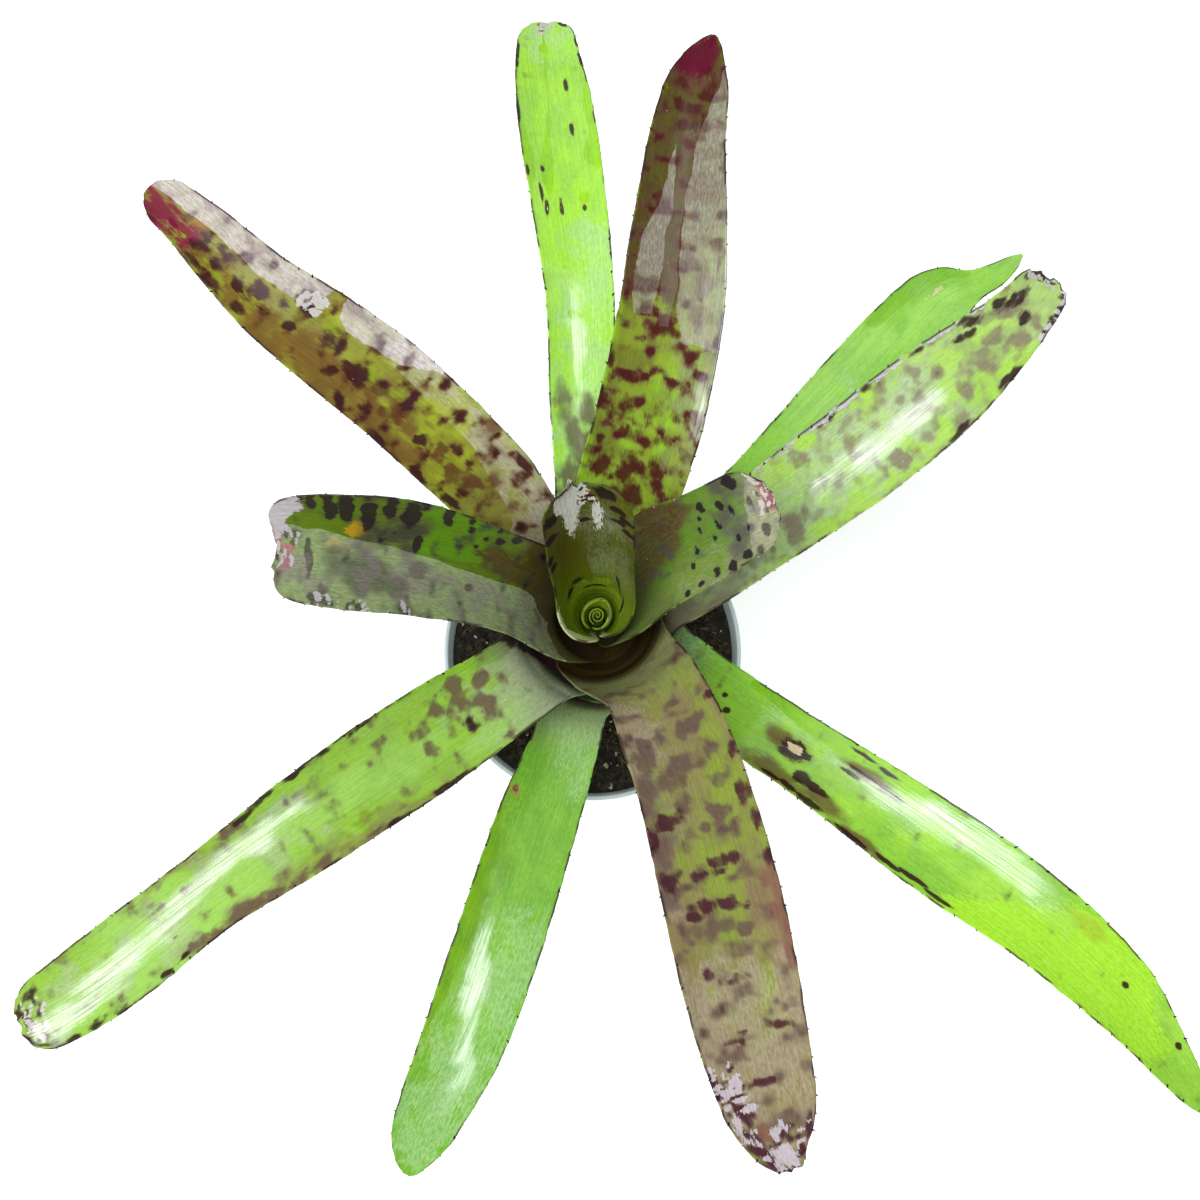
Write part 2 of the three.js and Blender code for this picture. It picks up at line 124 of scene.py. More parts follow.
# The stage, in metres. The camera is the one solved from the pot's rim in the photograph.
FLOOR_REACH = 6.0
LAMP_COLOUR = (0.96, 0.985, 1.0)
LAMP_HEIGHT = 1.35
LAMP_AIM = (0, 0, 0.15)
LAMPS = (
    dict(at=(-0.2, -0.12), size=(1.0, 0.7), turn=15, power=11.6),
    dict(at=(-1.35, -0.45), size=(1.2, 0.5), turn=4, power=10),
)
SKY_COLOUR = (0.95, 0.97, 1.0, 1)
RING_TOP = 0.8
RING_FADE = 0.1
RING_STRENGTH = 0.4
ZENITH_STRENGTH = 0.08
CAMERA_PLACE = (3.026 * MM, -71.207 * MM, 625.0 * MM)
CAMERA_TILT = 10
CAMERA_LENS = 39
CAMERA_SENSOR = 36

# Each leaf's sizes are those of its CAD solid: rank from the youngest outwards, heading of its
# sheath, mouth [radius, height], wrap half angles, path rows [out, left, height, half width].
# tip: length and power of the end's rounding. arc, fold and roll: how far the blade bends,
# creases and turns at its mouth and at its tip, in degrees. curl: how far the sheath winds out.
LEAVES = {}
LEAVES["spear"] = dict(
    rank=0, heading=60, mouth=[4.6, 54], wrap=[160, 175, 180], curl=0.1, tip=[4, 2], arc=[150, 120],
    path=[[5.2, 0, 57, 13], [5.8, 0, 60, 8]])
LEAVES["leaf_cup"] = dict(
    rank=1, heading=95, mouth=[9.3, 66], wrap=[160, 178, 165], curl=0.08, tip=[9, 2.6], arc=[85, 55],
    path=[[12, 0, 82, 19], [20, 1, 98, 18.5], [28, 1, 112, 17.5], [33, 2, 121, 16]])
LEAVES["leaf_short_right"] = dict(
    rank=2, heading=25, mouth=[13, 62], wrap=[120, 105, 76], tip=[12, 2.6], arc=[45, 30],
    path=[[27, 5, 75, 19], [44, 4, 88, 17], [59, 4, 97, 15.5], [68, 4, 101, 14]])
LEAVES["leaf_short_left"] = dict(
    rank=3, heading=172, mouth=[18, 58], wrap=[120, 100, 75], tip=[12, 2], arc=[30, 15], fold=[15, 20],
    roll=[-8, -20],
    path=[[32, -3, 77, 19], [62, -5, 95, 21], [85, -3, 102, 21], [101, -2, 101, 19], [110, -2, 96, 16]])
LEAVES["leaf_banded_front"] = dict(
    rank=4, heading=300, mouth=[25.5, 52], wrap=[120, 80, 50], tip=[24, 1.8], arc=[35, 15],
    path=[[35, 3, 66, 18], [54, 0, 78, 19], [79, -6, 89, 19], [110, -16, 99, 19.5],
        [145, -28, 104, 17.5], [177, -36.5, 101, 13], [188.5, -36, 98, 9.5]])
LEAVES["leaf_spotted_back"] = dict(
    rank=5, heading=80, mouth=[27.5, 48], wrap=[110, 80, 50], tip=[22, 1.7], arc=[35, 30],
    path=[[34, -2, 61, 20], [50, -4, 72, 20], [72, -7, 85, 20], [104, -8, 98, 19],
        [135, -5.5, 108, 16.5], [160, -3.5, 114, 13.5], [181, -4, 118, 10.8], [196, -6.5, 120, 8]])
LEAVES["leaf_front_left"] = dict(
    rank=6, heading=215, mouth=[29, 42], wrap=[110, 70, 40], tip=[18, 2.4], arc=[35, 18],
    path=[[39, 3, 52, 17], [78, 4, 64, 19], [121, 5, 76, 17.5], [162, 6, 81, 14], [202, 8, 78, 14.5],
        [228, 7, 72, 13], [242, 4, 67, 12]])
LEAVES["leaf_mottled_right"] = dict(
    rank=7, heading=33, mouth=[29.5, 38], wrap=[110, 70, 40], tip=[8, 2.3], arc=[30, 20],
    path=[[48, -5, 50, 17], [79, -5, 63, 18], [110, -5, 78, 18.5], [140, -3, 90, 17.5],
        [165, 0, 96, 13.5], [183, 4, 98, 10.3], [195, 8.5, 97, 9]])
LEAVES["leaf_spotted_left"] = dict(
    rank=8, heading=130, mouth=[30, 34], wrap=[110, 70, 40], tip=[10, 2], arc=[30, 25],
    path=[[42, 0, 46, 17], [66, -1, 56, 18], [107, 6, 76, 18.3], [135, 14, 90, 17],
        [157, 20.5, 100, 14], [185, 24, 108, 10.5], [206, 28, 112, 7.6]])
LEAVES["leaf_glossy_right"] = dict(
    rank=9, heading=325, mouth=[31, 30], wrap=[110, 80, 40], tip=[14, 1.5], arc=[25, 20],
    path=[[47, 1, 43, 15], [90, 0, 60, 14], [141, -2, 74, 16], [179, -3, 80, 15], [215, -7, 78, 13],
        [243, -15, 73, 8], [268, -23, 66, 3]])
LEAVES["leaf_lime_back"] = dict(
    rank=10, heading=95, mouth=[32, 27], wrap=[105, 60, 30], tip=[12, 2.4], arc=[25, 20],
    path=[[50, -2, 41, 14], [84, -2, 52, 13], [122, -4, 60, 13], [157, -3, 63, 14.5], [196, -1, 61, 15],
        [226, 0, 56, 12.5], [244, -1, 51, 10]])
LEAVES["leaf_plain_front"] = dict(
    rank=11, heading=250, mouth=[33.5, 23], wrap=[105, 60, 28], tip=[20, 1.8], arc=[25, 15],
    path=[[46, 4, 35, 13], [78, 5, 46, 15], [125, 7.4, 56, 15.4], [159, 7.4, 57, 14.3],
        [191, 4.6, 53, 10.6], [206, 5, 49, 8]])
LEAVES["leaf_plain_right"] = dict(
    rank=12, heading=38, mouth=[35, 20], wrap=[105, 60, 30], tip=[6, 1.6], arc=[25, 20],
    path=[[52, -2, 31, 16], [86, 1, 40, 16], [139, 8, 52, 17.5], [170, 13.5, 58, 15.3],
        [181, 14, 60, 12], [191, 11.6, 60, 6.2], [202, 9.6, 59, 4.4], [215, 10, 58, 1.6]])

# The marks on each leaf's skin. Runs are millimetres from the sheath's mouth towards the tip,
# across is -1 to 1 from the right margin to the left one, seen from above the leaf's foot.
# green: the two colours of the clouds. base and arcs colour the sheath, lip the blade's foot.
# mottle: colour and strength of the blurred specks. veil: a pale film all over the leaf.
# areas: kind, then rows [run, from, to] of an area that lies between two lines along the leaf.
# spots: kind to rows [run, across, half length, half width in mm].
# rows: cross rows of dashes [first run, last run, pitch, kind, strength].
# bands: pitch of the tiger bands, then the heights of noise that show brown and black.
# torn: scraps of dead skin [first run, last run, least across, greatest across, count].
# fray: how far the torn end stands out. scraps: its higher bits [across in mm, height, width].
# calm: how much noise breaks the marks up. crisp: dark marks have sharp edges.
# faint: how far the scurf hides the brown marks.
PLAIN_LOOK = dict(
    blush="#5e4038", red="#8d2c4e", gold="#b0702c", pale="#d9d3c4", scurf="#b9bca8",
    lime="#9ccc1c", base="#6a5f48", lip="#8f8f80", arcs="#2a2410", spine="#2a1c1a",
    mottle=("#8a8a50", 0.2), veil=0.06, faint=0.2, crisp=False, calm=1.0, bands=(10, 9, 9),
    fray=0.4, scraps=[], torn=[], rows=[], areas=[], spots={})
LOOKS = {}
LOOKS["spear"] = dict(
    green=("#8ca818", "#a8c62c"), wash="#66741a", dark="#2a2410", base="#9cb41c", lip="#a8c428",
    areas=[
        ("wet", [[-30, -1.2, 1.2], [20, -1.2, 1.2]]),
    ])
LOOKS["leaf_cup"] = dict(
    fray=1.4, scraps=[[3.8, 4.6, 0.9], [9, 1, 2], [-9, 0.8, 2]], torn=[[50, 62, -0.2, 0.7, 24]],
    bands=(8, 9, 9), calm=0.6, green=("#484e04", "#566008"), wash="#4a4404", gold="#eef0b4",
    dark="#1e1410", scurf="#9a9c80", pale="#d0cfc2", red="#7c1834", lime="#c0dc1c", base="#86a214",
    lip="#6f8610", mottle=("#3c3a04", 0.35), veil=0.01, crisp=True,
    areas=[
        ("shine", [[8, -0.64, -0.4], [44, -0.78, -0.52]]),
        ("gold", [[-28, 0.84, 1.2], [-14, 0.85, 1.2], [0, 0.86, 1.2], [12, 0.9, 1.2]]),
        ("gold", [[-26, -1.2, -0.86], [-12, -1.2, -0.9], [-4, -1.2, -0.97]]),
        # These two haze strips beside the glossy streak are a painted sheen.
        ("haze_and_sheen", [[20, -0.34, -0.14], [34, -0.4, -0.04], [48, -0.44, 0.02]]),
        ("haze_and_sheen", [[16, -0.74, -0.6], [46, -0.76, -0.62]]),
        ("wet", [[12, 0.04, 0.85], [20, 0.1, 0.85], [38, 0.16, 0.8], [46, 0.4, 0.7]]),
        ("wash", [[14, 0.16, 0.8], [30, 0.14, 0.8], [42, 0.3, 0.7]]),
        ("lime", [[-30, -0.9, 0.7], [-8, -0.6, 0.6], [2, -0.4, 0.4], [9, -0.25, 0.3]]),
        ("pale", [[36, 0.27, 0.31], [41, 0.22, 0.4], [47, 0.16, 0.52], [54, 0.1, 0.7], [64, 0.1, 0.9]]),
        ("pale", [[39, -0.22, -0.16], [43, -0.28, -0.12], [48, -0.3, -0.1], [51, -0.26, -0.14]]),
    ],
    spots={
        "red": [[54, 0.05, 0.9, 2.6], [56, -0.04, 0.8, 1.8]],
        "dark": [[56, -0.52, 3.4, 4], [50, -0.6, 1.1, 4], [47, -0.85, 1.2, 3.4], [45, -0.6, 1, 4],
            [42, -0.86, 1.1, 3.2], [42, 0.8, 1.9, 4], [50, 0.82, 3.2, 3.6], [34, 0.95, 1.5, 2.6],
            [30, 0.88, 1.3, 2.2], [44, 0.05, 1, 3], [53, 0.02, 1.2, 4], [3, 0, 1, 5],
            [14, 0.36, 1.8, 2.6], [8, 0.46, 4, 1.6], [-1, -0.5, 7, 0.7], [10, -0.44, 8, 0.6],
            [-20, 0, 1.2, 9]],
    })
LOOKS["leaf_short_right"] = dict(
    fray=1.2, torn=[[62, 72, -0.2, 1, 20]], bands=(9, 1.7, 3.2), green=("#5c8c12", "#6f8c2c"),
    wash="#5a2610", dark="#241a20", scurf="#b2ae94", red="#a83a5c", spine="#b8b0a0", base="#43431c",
    lip="#4a5a1c", blush="#55504c", veil=0.06, mottle=("#5e6a2c", 0.4), crisp=True,
    areas=[
        ("wash", [[6, -0.1, 0.5], [14, -0.3, 1.2], [24, -0.05, 1.2], [34, 0.35, 1.2], [41, 0.8, 1.2]]),
        ("haze_and_sheen", [[30, -1.2, -0.8], [50, -1.2, -0.5], [58, -1.2, 0.6], [70, -1.2, 1.2]]),
        ("scurf", [[55, -1.2, -0.9], [61, -1.2, 0.8], [74, -1.2, 1.2]]),
        ("blush", [[50, -0.6, 1.1], [54, -0.7, 1.2], [58, -0.8, 1.2]]),
    ],
    spots={
        "dark": [[45, 0.62, 1.4, 1.8], [42, 0.42, 0.8, 1.2], [40, 0.22, 1, 2], [36, -0.16, 1, 1.8],
            [33, -0.4, 0.9, 1.5], [51, 0.46, 1.1, 2.2], [47, 0.15, 1, 2.4], [44, -0.12, 0.8, 1.6],
            [58, 0.82, 2, 3.4], [54, 0.26, 0.9, 1.8], [62, -0.6, 1.4, 2.6], [58, -0.87, 1.4, 1.8],
            [53, -0.83, 1.6, 2], [47, -0.87, 1.5, 1.8], [41, -0.8, 1.3, 1.8], [35, -0.85, 1.3, 1.5],
            [29, -0.9, 1.3, 1.3], [52, -0.4, 1, 1.8], [57, -0.3, 1, 1.6], [61, 0.2, 0.8, 3],
            [68, 0.95, 1.6, 3]],
        "red": [[67, 0.5, 2.4, 5], [67, 0.1, 2, 3]],
    })
LOOKS["leaf_short_left"] = dict(
    fray=1.4, torn=[[99, 112, -1, 0.4, 26], [60, 96, 0.85, 1, 16]], bands=(9, 1.2, 2.1),
    green=("#5a7408", "#66781c"), wash="#4c2c12", dark="#221614", blush="#3c3630", scurf="#9aa880",
    red="#a8506c", pale="#bdb6b8", lime="#5a8c08", gold="#b8922a", base="#3a2a1a", lip="#4e4426",
    veil=0.02, faint=0, mottle=("#4e5420", 0.45), crisp=True,
    areas=[
        ("wash", [[-4, -1.2, 0.4], [20, -1.2, 0.1], [32, -0.7, -0.1], [40, -0.4, -0.2]]),
        ("wet", [[10, -1.2, 0], [60, -1.2, -0.02], [100, -1.2, -0.4], [108, -1.2, -0.7]]),
        # This lime strip on the steep far half is painted light shining through the leaf.
        ("lime", [[40, -1.2, -0.1], [46, -1.2, -0.02], [61, -1.2, -0.02]]),
        ("blush", [[61, -0.7, -0.02], [66, -0.7, -0.04], [76, -0.55, -0.1]]),
        ("scurf", [[2, 0.3, 1.2], [16, -0.1, 1.2], [30, -0.08, 1.2], [47, 0, 1.2], [66, -0.15, 1.2],
            [78, -0.35, 1.2], [86, -0.7, 1.2], [96, -0.95, 1.2], [114, -1.2, 1.2]]),
        ("pale", [[97, -1, -0.8], [102, -1.1, -0.5], [107, -1.1, -0.35], [113, -1.1, -0.2]]),
    ],
    spots={
        "dark": [[93, -0.9, 1.6, 4], [88.6, -0.82, 1.7, 6], [83.6, -0.78, 1.9, 7], [77, -0.72, 2.1, 7],
            [71, -0.86, 1.8, 4], [65, -0.7, 2.4, 6], [61, -0.25, 1.2, 4], [55, -0.95, 1.6, 3],
            [54, -0.76, 1.6, 1.6], [47, -0.95, 1.4, 1.4], [46, -0.76, 1.5, 1.5], [40, -0.7, 1.2, 1.2],
            [42, -0.5, 0.9, 0.9], [37, -0.95, 1.3, 1.3], [35, -0.76, 1.6, 1.6], [30, -0.9, 1.6, 1.5],
            [100, -0.95, 5, 3], [96, 0.1, 1, 5], [95, 0.35, 1, 5], [39, 0.27, 1.4, 1.6]],
        "blush": [[88, 0.19, 5, 6], [79, 0.4, 5, 9], [72, 0.42, 4, 7], [66, 0.57, 4, 4],
            [58, 0.2, 3, 3], [62, 0.95, 5, 3], [88, 0.95, 4, 3]],
        "red": [[108, -0.29, 2.4, 4], [104, 0.2, 3, 5]],
        "gold": [[88, -0.1, 3.4, 3.4], [81, -0.4, 3.6, 2.8], [94, 0.2, 2, 2]],
        "lime": [[91, 0.55, 1, 8]],
    })
LOOKS["leaf_banded_front"] = dict(
    fray=1.6, torn=[[144, 172, -0.98, -0.4, 40], [168, 182, -0.9, 0.9, 26]], bands=(13, 0.95, 2.5),
    green=("#86982c", "#8a8448"), wash="#8a764a", dark="#4a1e2c", blush="#665048", scurf="#c6bca2",
    red="#86604e", pale="#d2c6cc", base="#3a2a10", lip="#7b7c54", arcs="#1a0e06", veil=0.06,
    mottle=("#77604a", 0.4),
    areas=[
        ("wash", [[16, -1.2, -0.5], [60, -1.2, -0.7], [125, -1.2, -0.55], [150, -1.2, -0.1],
            [178, -1.2, 1.2]]),
        ("wet", [[-30, -1.2, 1.2], [0, -1.2, 1.2]]),
        ("shine", [[-22, 0.1, 0.5], [-4, 0.1, 0.5]]),
        ("wash", [[90, 0.62, 1.2], [120, 0.5, 1.2], [150, 0.3, 1.2], [186, -0.2, 1.2]]),
        ("haze_and_sheen", [[118, -1.2, 1.2], [140, -1.2, 1.2], [186, -1.2, 1.2]]),
        ("blush", [[52, -1.2, -0.6], [74, -1.2, -0.55], [96, -1.2, -0.8]]),
        ("haze_and_sheen", [[20, -1.2, -0.3], [60, -1.2, -0.5], [100, -1.2, -0.85]]),
        ("haze_and_sheen", [[130, -1.2, -0.6], [142, -1.2, 0], [156, -1.2, 0.3], [176, -1.2, 0.6]]),
        ("haze_and_sheen", [[136, -1.2, -0.4], [150, -1.2, 0.1], [170, -1.2, 0.4], [184, -1, 0.9]]),
        ("red", [[94, 0.8, 1.1], [112, 0.74, 1.2], [124, 0.85, 1]]),
        ("pale", [[175, -0.5, 0], [178, -0.7, 0.4], [184, -0.8, 0.7]]),
    ],
    spots={
        "dark": [[69, -0.62, 3, 4.5], [86, 0.18, 1.8, 5], [89, -0.19, 1.7, 5], [90, -0.77, 3.2, 4],
            [99, -0.3, 1.9, 4], [100, 0.1, 1.9, 4.6], [102, -0.52, 1.6, 2], [120, -0.48, 2, 1.6],
            [124, -0.13, 2.2, 4], [139, 0.5, 1.6, 4.6], [139, -0.12, 0.8, 1.8], [141, -0.34, 0.7, 2.4],
            [142, -0.2, 1.4, 0.6], [67, 0.86, 3, 2.6], [76, 0.95, 3.4, 1.6], [88, 0.95, 3, 2],
            [74, -0.94, 4, 1.7], [31, 0.88, 2.2, 2.6], [52, 0.92, 3, 1.6], [110, 0.95, 2.4, 1.2],
            [157, -0.75, 2.4, 1.6], [154, -0.85, 2, 1.4], [161, -0.7, 2.2, 1.4], [164, -0.6, 2, 1.6],
            [171, -0.62, 3, 1.4], [176, -0.6, 2.4, 1.3], [170, 0.87, 3, 1.2], [176, 0.9, 2.4, 1.2],
            [155, 0, 1.2, 4], [150, -0.96, 2, 1.4]],
        "blush": [[38, 0.27, 2.8, 8], [27, 0.15, 2, 3], [50, 0.1, 4, 9], [74, 0.06, 2, 3],
            [70, 0.3, 3, 4], [62, -0.2, 4, 3], [80, -0.4, 3, 2], [107, -0.2, 3, 5], [108, 0.3, 2, 3],
            [44, -0.7, 6, 4], [56, -0.3, 4, 5], [60, 0.5, 4, 4]],
        "scurf": [[158, -0.5, 1, 2.4], [162, -0.36, 1, 2.6], [151, -0.72, 1.4, 2]],
        "red": [[169, -0.3, 3, 3]],
    })
LOOKS["leaf_spotted_back"] = dict(
    bands=(9, 0.6, 1.25), calm=0.45, green=("#92be24", "#8a9e28"), wash="#4e2a18", dark="#4a1812",
    blush="#6a4438", scurf="#b2b09a", red="#6a0c30", base="#4a4a1c", lip="#6c7030", veil=0.02,
    faint=0.5, mottle=("#626020", 0.5), rows=[[10, 60, 8.5, "dark", 0.45]],
    areas=[
        ("shine", [[56, -1.2, -0.85], [84, -1.2, -0.72], [104, -1.2, -0.68], [128, -1.2, -0.88]]),
        ("wash", [[96, -0.1, 1.2], [112, -0.3, 1.2], [126, -1.2, 1.2], [196, -1.2, 1.2]]),
        ("wet", [[104, 0.9, 1.2], [118, 0.8, 1.2], [130, 0.52, 1.2], [142, 0.38, 1.2],
            [152, 0.32, 1.2]]),
        ("wet", [[88, 0, 0.2], [102, -0.04, 0.3], [118, -0.04, 0.26], [130, -0.05, 0.19],
            [142, -0.14, 0.19], [152, -0.23, 0.31]]),
        ("wet", [[151.5, -0.24, 1.2], [160, -0.4, 1.2], [168, -0.56, 1.2], [178, -0.85, 1.2],
            [192, -1.2, 1.2]]),
        ("scurf", [[84, -1.2, -0.3], [90, -1.2, -0.14], [112, -1.2, -0.06], [131, -1.2, -0.07],
            [153, -1.2, -0.26], [168, -1.2, -0.58], [178, -1.2, -0.88]]),
        ("scurf", [[92, 0.32, 0.7], [102, 0.32, 0.84], [118, 0.27, 0.77], [130, 0.2, 0.5],
            [142, 0.2, 0.36], [152, 0.25, 0.3]]),
        ("haze_and_sheen", [[40, -1.2, -0.7], [84, -1.2, -0.2]]),
        ("red", [[173, 0.1, 0.9], [179, -0.5, 1.2], [192, -1.2, 1.2]]),
    ],
    spots={
        "dark": [[59, 0.5, 3.4, 3.6], [50, 0.38, 2.4, 2.6], [36, 0.6, 4, 4], [37, 0.06, 4, 4],
            [34, 0.25, 3, 3], [39, -0.38, 3, 3], [27, -0.1, 4, 4], [26, 0.3, 3, 3], [88, 0.1, 3, 5],
            [163, 0.2, 2, 8], [157, 0, 2, 8], [168, -0.4, 1.5, 6], [48, -0.1, 2.4, 2.4],
            [46, 0.78, 3, 2], [59, -0.9, 3, 1.5], [75, 0.96, 3, 1.4], [16, 0, 3, 5], [22, -0.5, 3, 3]],
        "blush": [[119, -0.6, 2.4, 6], [136, -0.5, 4, 8], [106, -0.57, 4.4, 8], [94, -0.6, 3, 7],
            [148, -0.6, 2, 6], [88, 0.3, 4, 5], [172, -0.2, 2, 8], [176, 0.6, 3, 6]],
    })
LOOKS["leaf_front_left"] = dict(
    fray=1.6, torn=[[210, 222, -0.6, 0.7, 18]], bands=(15, 1.7, 3.5), green=("#90c41c", "#9cd24a"),
    # base: near black, painted shade of the deep cavity inside the sheath.
    wash="#827c2c", dark="#2e161e", blush="#6a4c46", scurf="#c2c8b0", pale="#dccfc8", base="#1e130d",
    lip="#887c7a", veil=0.1, mottle=("#86b43c", 0.45), rows=[[96, 205, 24, "blush", 0.3]],
    areas=[
        ("shine", [[98, -0.7, -0.3], [120, -0.75, -0.15], [142, -0.65, -0.1], [170, -0.4, 0.3],
            [203, -0.2, 0.8], [220, -0.5, 0.8]]),
        ("haze_and_sheen", [[2, -0.9, 1.2], [12, -0.7, 1.2], [26, -0.3, 1], [40, 0.1, 0.6]]),
        ("haze_and_sheen", [[2, -0.6, 1.2], [14, -0.4, 1.2], [30, 0, 0.8]]),
        # This dark area over the sheath and the mouth is painted shade of the deep cavity inside.
        ("dark", [[-30, -1.2, 0.8], [-12, -1.2, 0.5], [-8, -1.2, 0.2], [0, -1.2, -0.2],
            [3, -1.2, -0.35], [10, -1.2, -0.72], [14, -1.2, -1.1]]),
        ("wash", [[56, 0.85, 1.2], [80, 0.62, 1.2], [110, 0.66, 1.2], [136, 0.7, 1.2],
            [160, 0.84, 1.2]]),
        ("wash", [[118, -1.2, -0.96], [136, -1.2, -0.78], [160, -1.2, -0.86]]),
        ("wet", [[6, -1.2, -0.62], [16, -1.2, -0.66], [26, -1.2, -0.8], [60, -1.2, -0.96]]),
        # This haze along the glossy band is a painted sheen.
        ("haze_and_sheen", [[104, -0.5, 0.1], [130, -0.45, 0.2], [207, -0.4, 0.5]]),
        ("pale", [[214, 0.1, 0.4], [218, -0.1, 0.5], [222, -0.3, 0.6]]),
    ],
    spots={
        "blush": [[37, 0.15, 4, 4.4], [25, -0.47, 3, 3], [36, -0.3, 4, 4], [35, -0.66, 3, 3],
            [28, 0.1, 5, 6], [54, -0.27, 3, 3], [55, 0.17, 3, 3], [45, -0.5, 3, 3], [133, 0.92, 7, 3],
            [160, -0.4, 4, 2.6], [148, -0.42, 2.4, 1.8], [110, 0.9, 8, 1.8], [88, 0.92, 6, 1.6],
            [122, 0.92, 6, 2], [152, 0.9, 8, 2.2], [123, -0.88, 6, 2.2]],
        "wet": [[88, 0.54, 6, 2.6]],
        "wash": [[88, 0.54, 5, 2]],
        "dark": [[37, 0.14, 2.4, 2.6], [160, 0.35, 1.2, 0.6], [160, 0.86, 1.6, 0.8], [111, -0.95, 5, 1],
            [119, -0.93, 5, 1.2], [98, -0.96, 5, 0.9], [86, -0.96, 4, 0.9], [70, -0.97, 6, 0.9],
            [52, 0.98, 6, 1.2], [60, 0.96, 5, 1.2], [78, 0.97, 5, 0.9], [187, 0.95, 4, 1.4],
            [196, 0.93, 4, 1.6], [204, 0.95, 3, 1.2], [216, -0.7, 5, 1.6], [222, -0.5, 2, 1.4],
            [218, 0.9, 5, 0.9], [168, 0.9, 2, 0.8]],
    })
LOOKS["leaf_mottled_right"] = dict(
    fray=1.5, torn=[[176, 186, -0.8, 1, 16], [160, 178, -1, -0.9, 10]], bands=(11, 1.0, 3),
    green=("#acde42", "#b8da74"), wash="#a09a70", dark="#341c26", blush="#8c806a", scurf="#d2e2cc",
    pale="#d6d0d2", base="#3a2a22", lip="#78685c", veil=0.08, mottle=("#84886a", 0.42),
    rows=[[8, 170, 11.5, "blush", 0.42]],
    areas=[
        ("shine", [[62, -0.4, 0], [90, -0.4, 0.12], [126, -0.3, 0]]),
        ("haze_and_sheen", [[6, -0.9, 0.8], [60, -0.8, 0.7], [96, -0.7, 0.6], [124, -0.6, 0.5]]),
        ("blush", [[-30, -1.2, -0.3], [0, -1.2, -0.5], [24, -1.2, -0.8]]),
        # This thin pale strip along the left margin is a painted highlight.
        ("pale", [[36, 0.965, 1.2], [100, 0.96, 1.2], [160, 0.97, 1.2]]),
        ("pale", [[180.5, 0.5, 1.2], [183, 0, 1.2]]),
    ],
    spots={
        "dark": [[165, 0.5, 5, 2], [160, 0.75, 5, 1.6], [147, 0.86, 4, 2], [145, 0.55, 2.4, 1.6],
            [141, 0.62, 2.4, 1.6], [163, -0.1, 2.4, 1.8], [146, -0.96, 3, 1.6], [142, -0.9, 3, 1.4],
            [120, -0.95, 4, 1.4], [128, 0.92, 4, 1.2], [108, 0.94, 4, 1.2], [88, 0.95, 4, 1.2],
            [176, 0.8, 4, 1.2], [172, -1, 3, 1.2]],
        "blush": [[158, 0.6, 8, 4], [150, 0.2, 4, 3], [155, -0.5, 4, 3], [130, -0.3, 3, 4],
            [118, 0.2, 3, 4], [100, -0.6, 3, 4], [72, 0.6, 3, 4], [55, -0.5, 4, 5], [40, 0.2, 4, 5],
            [3, -0.9, 16, 6]],
    })
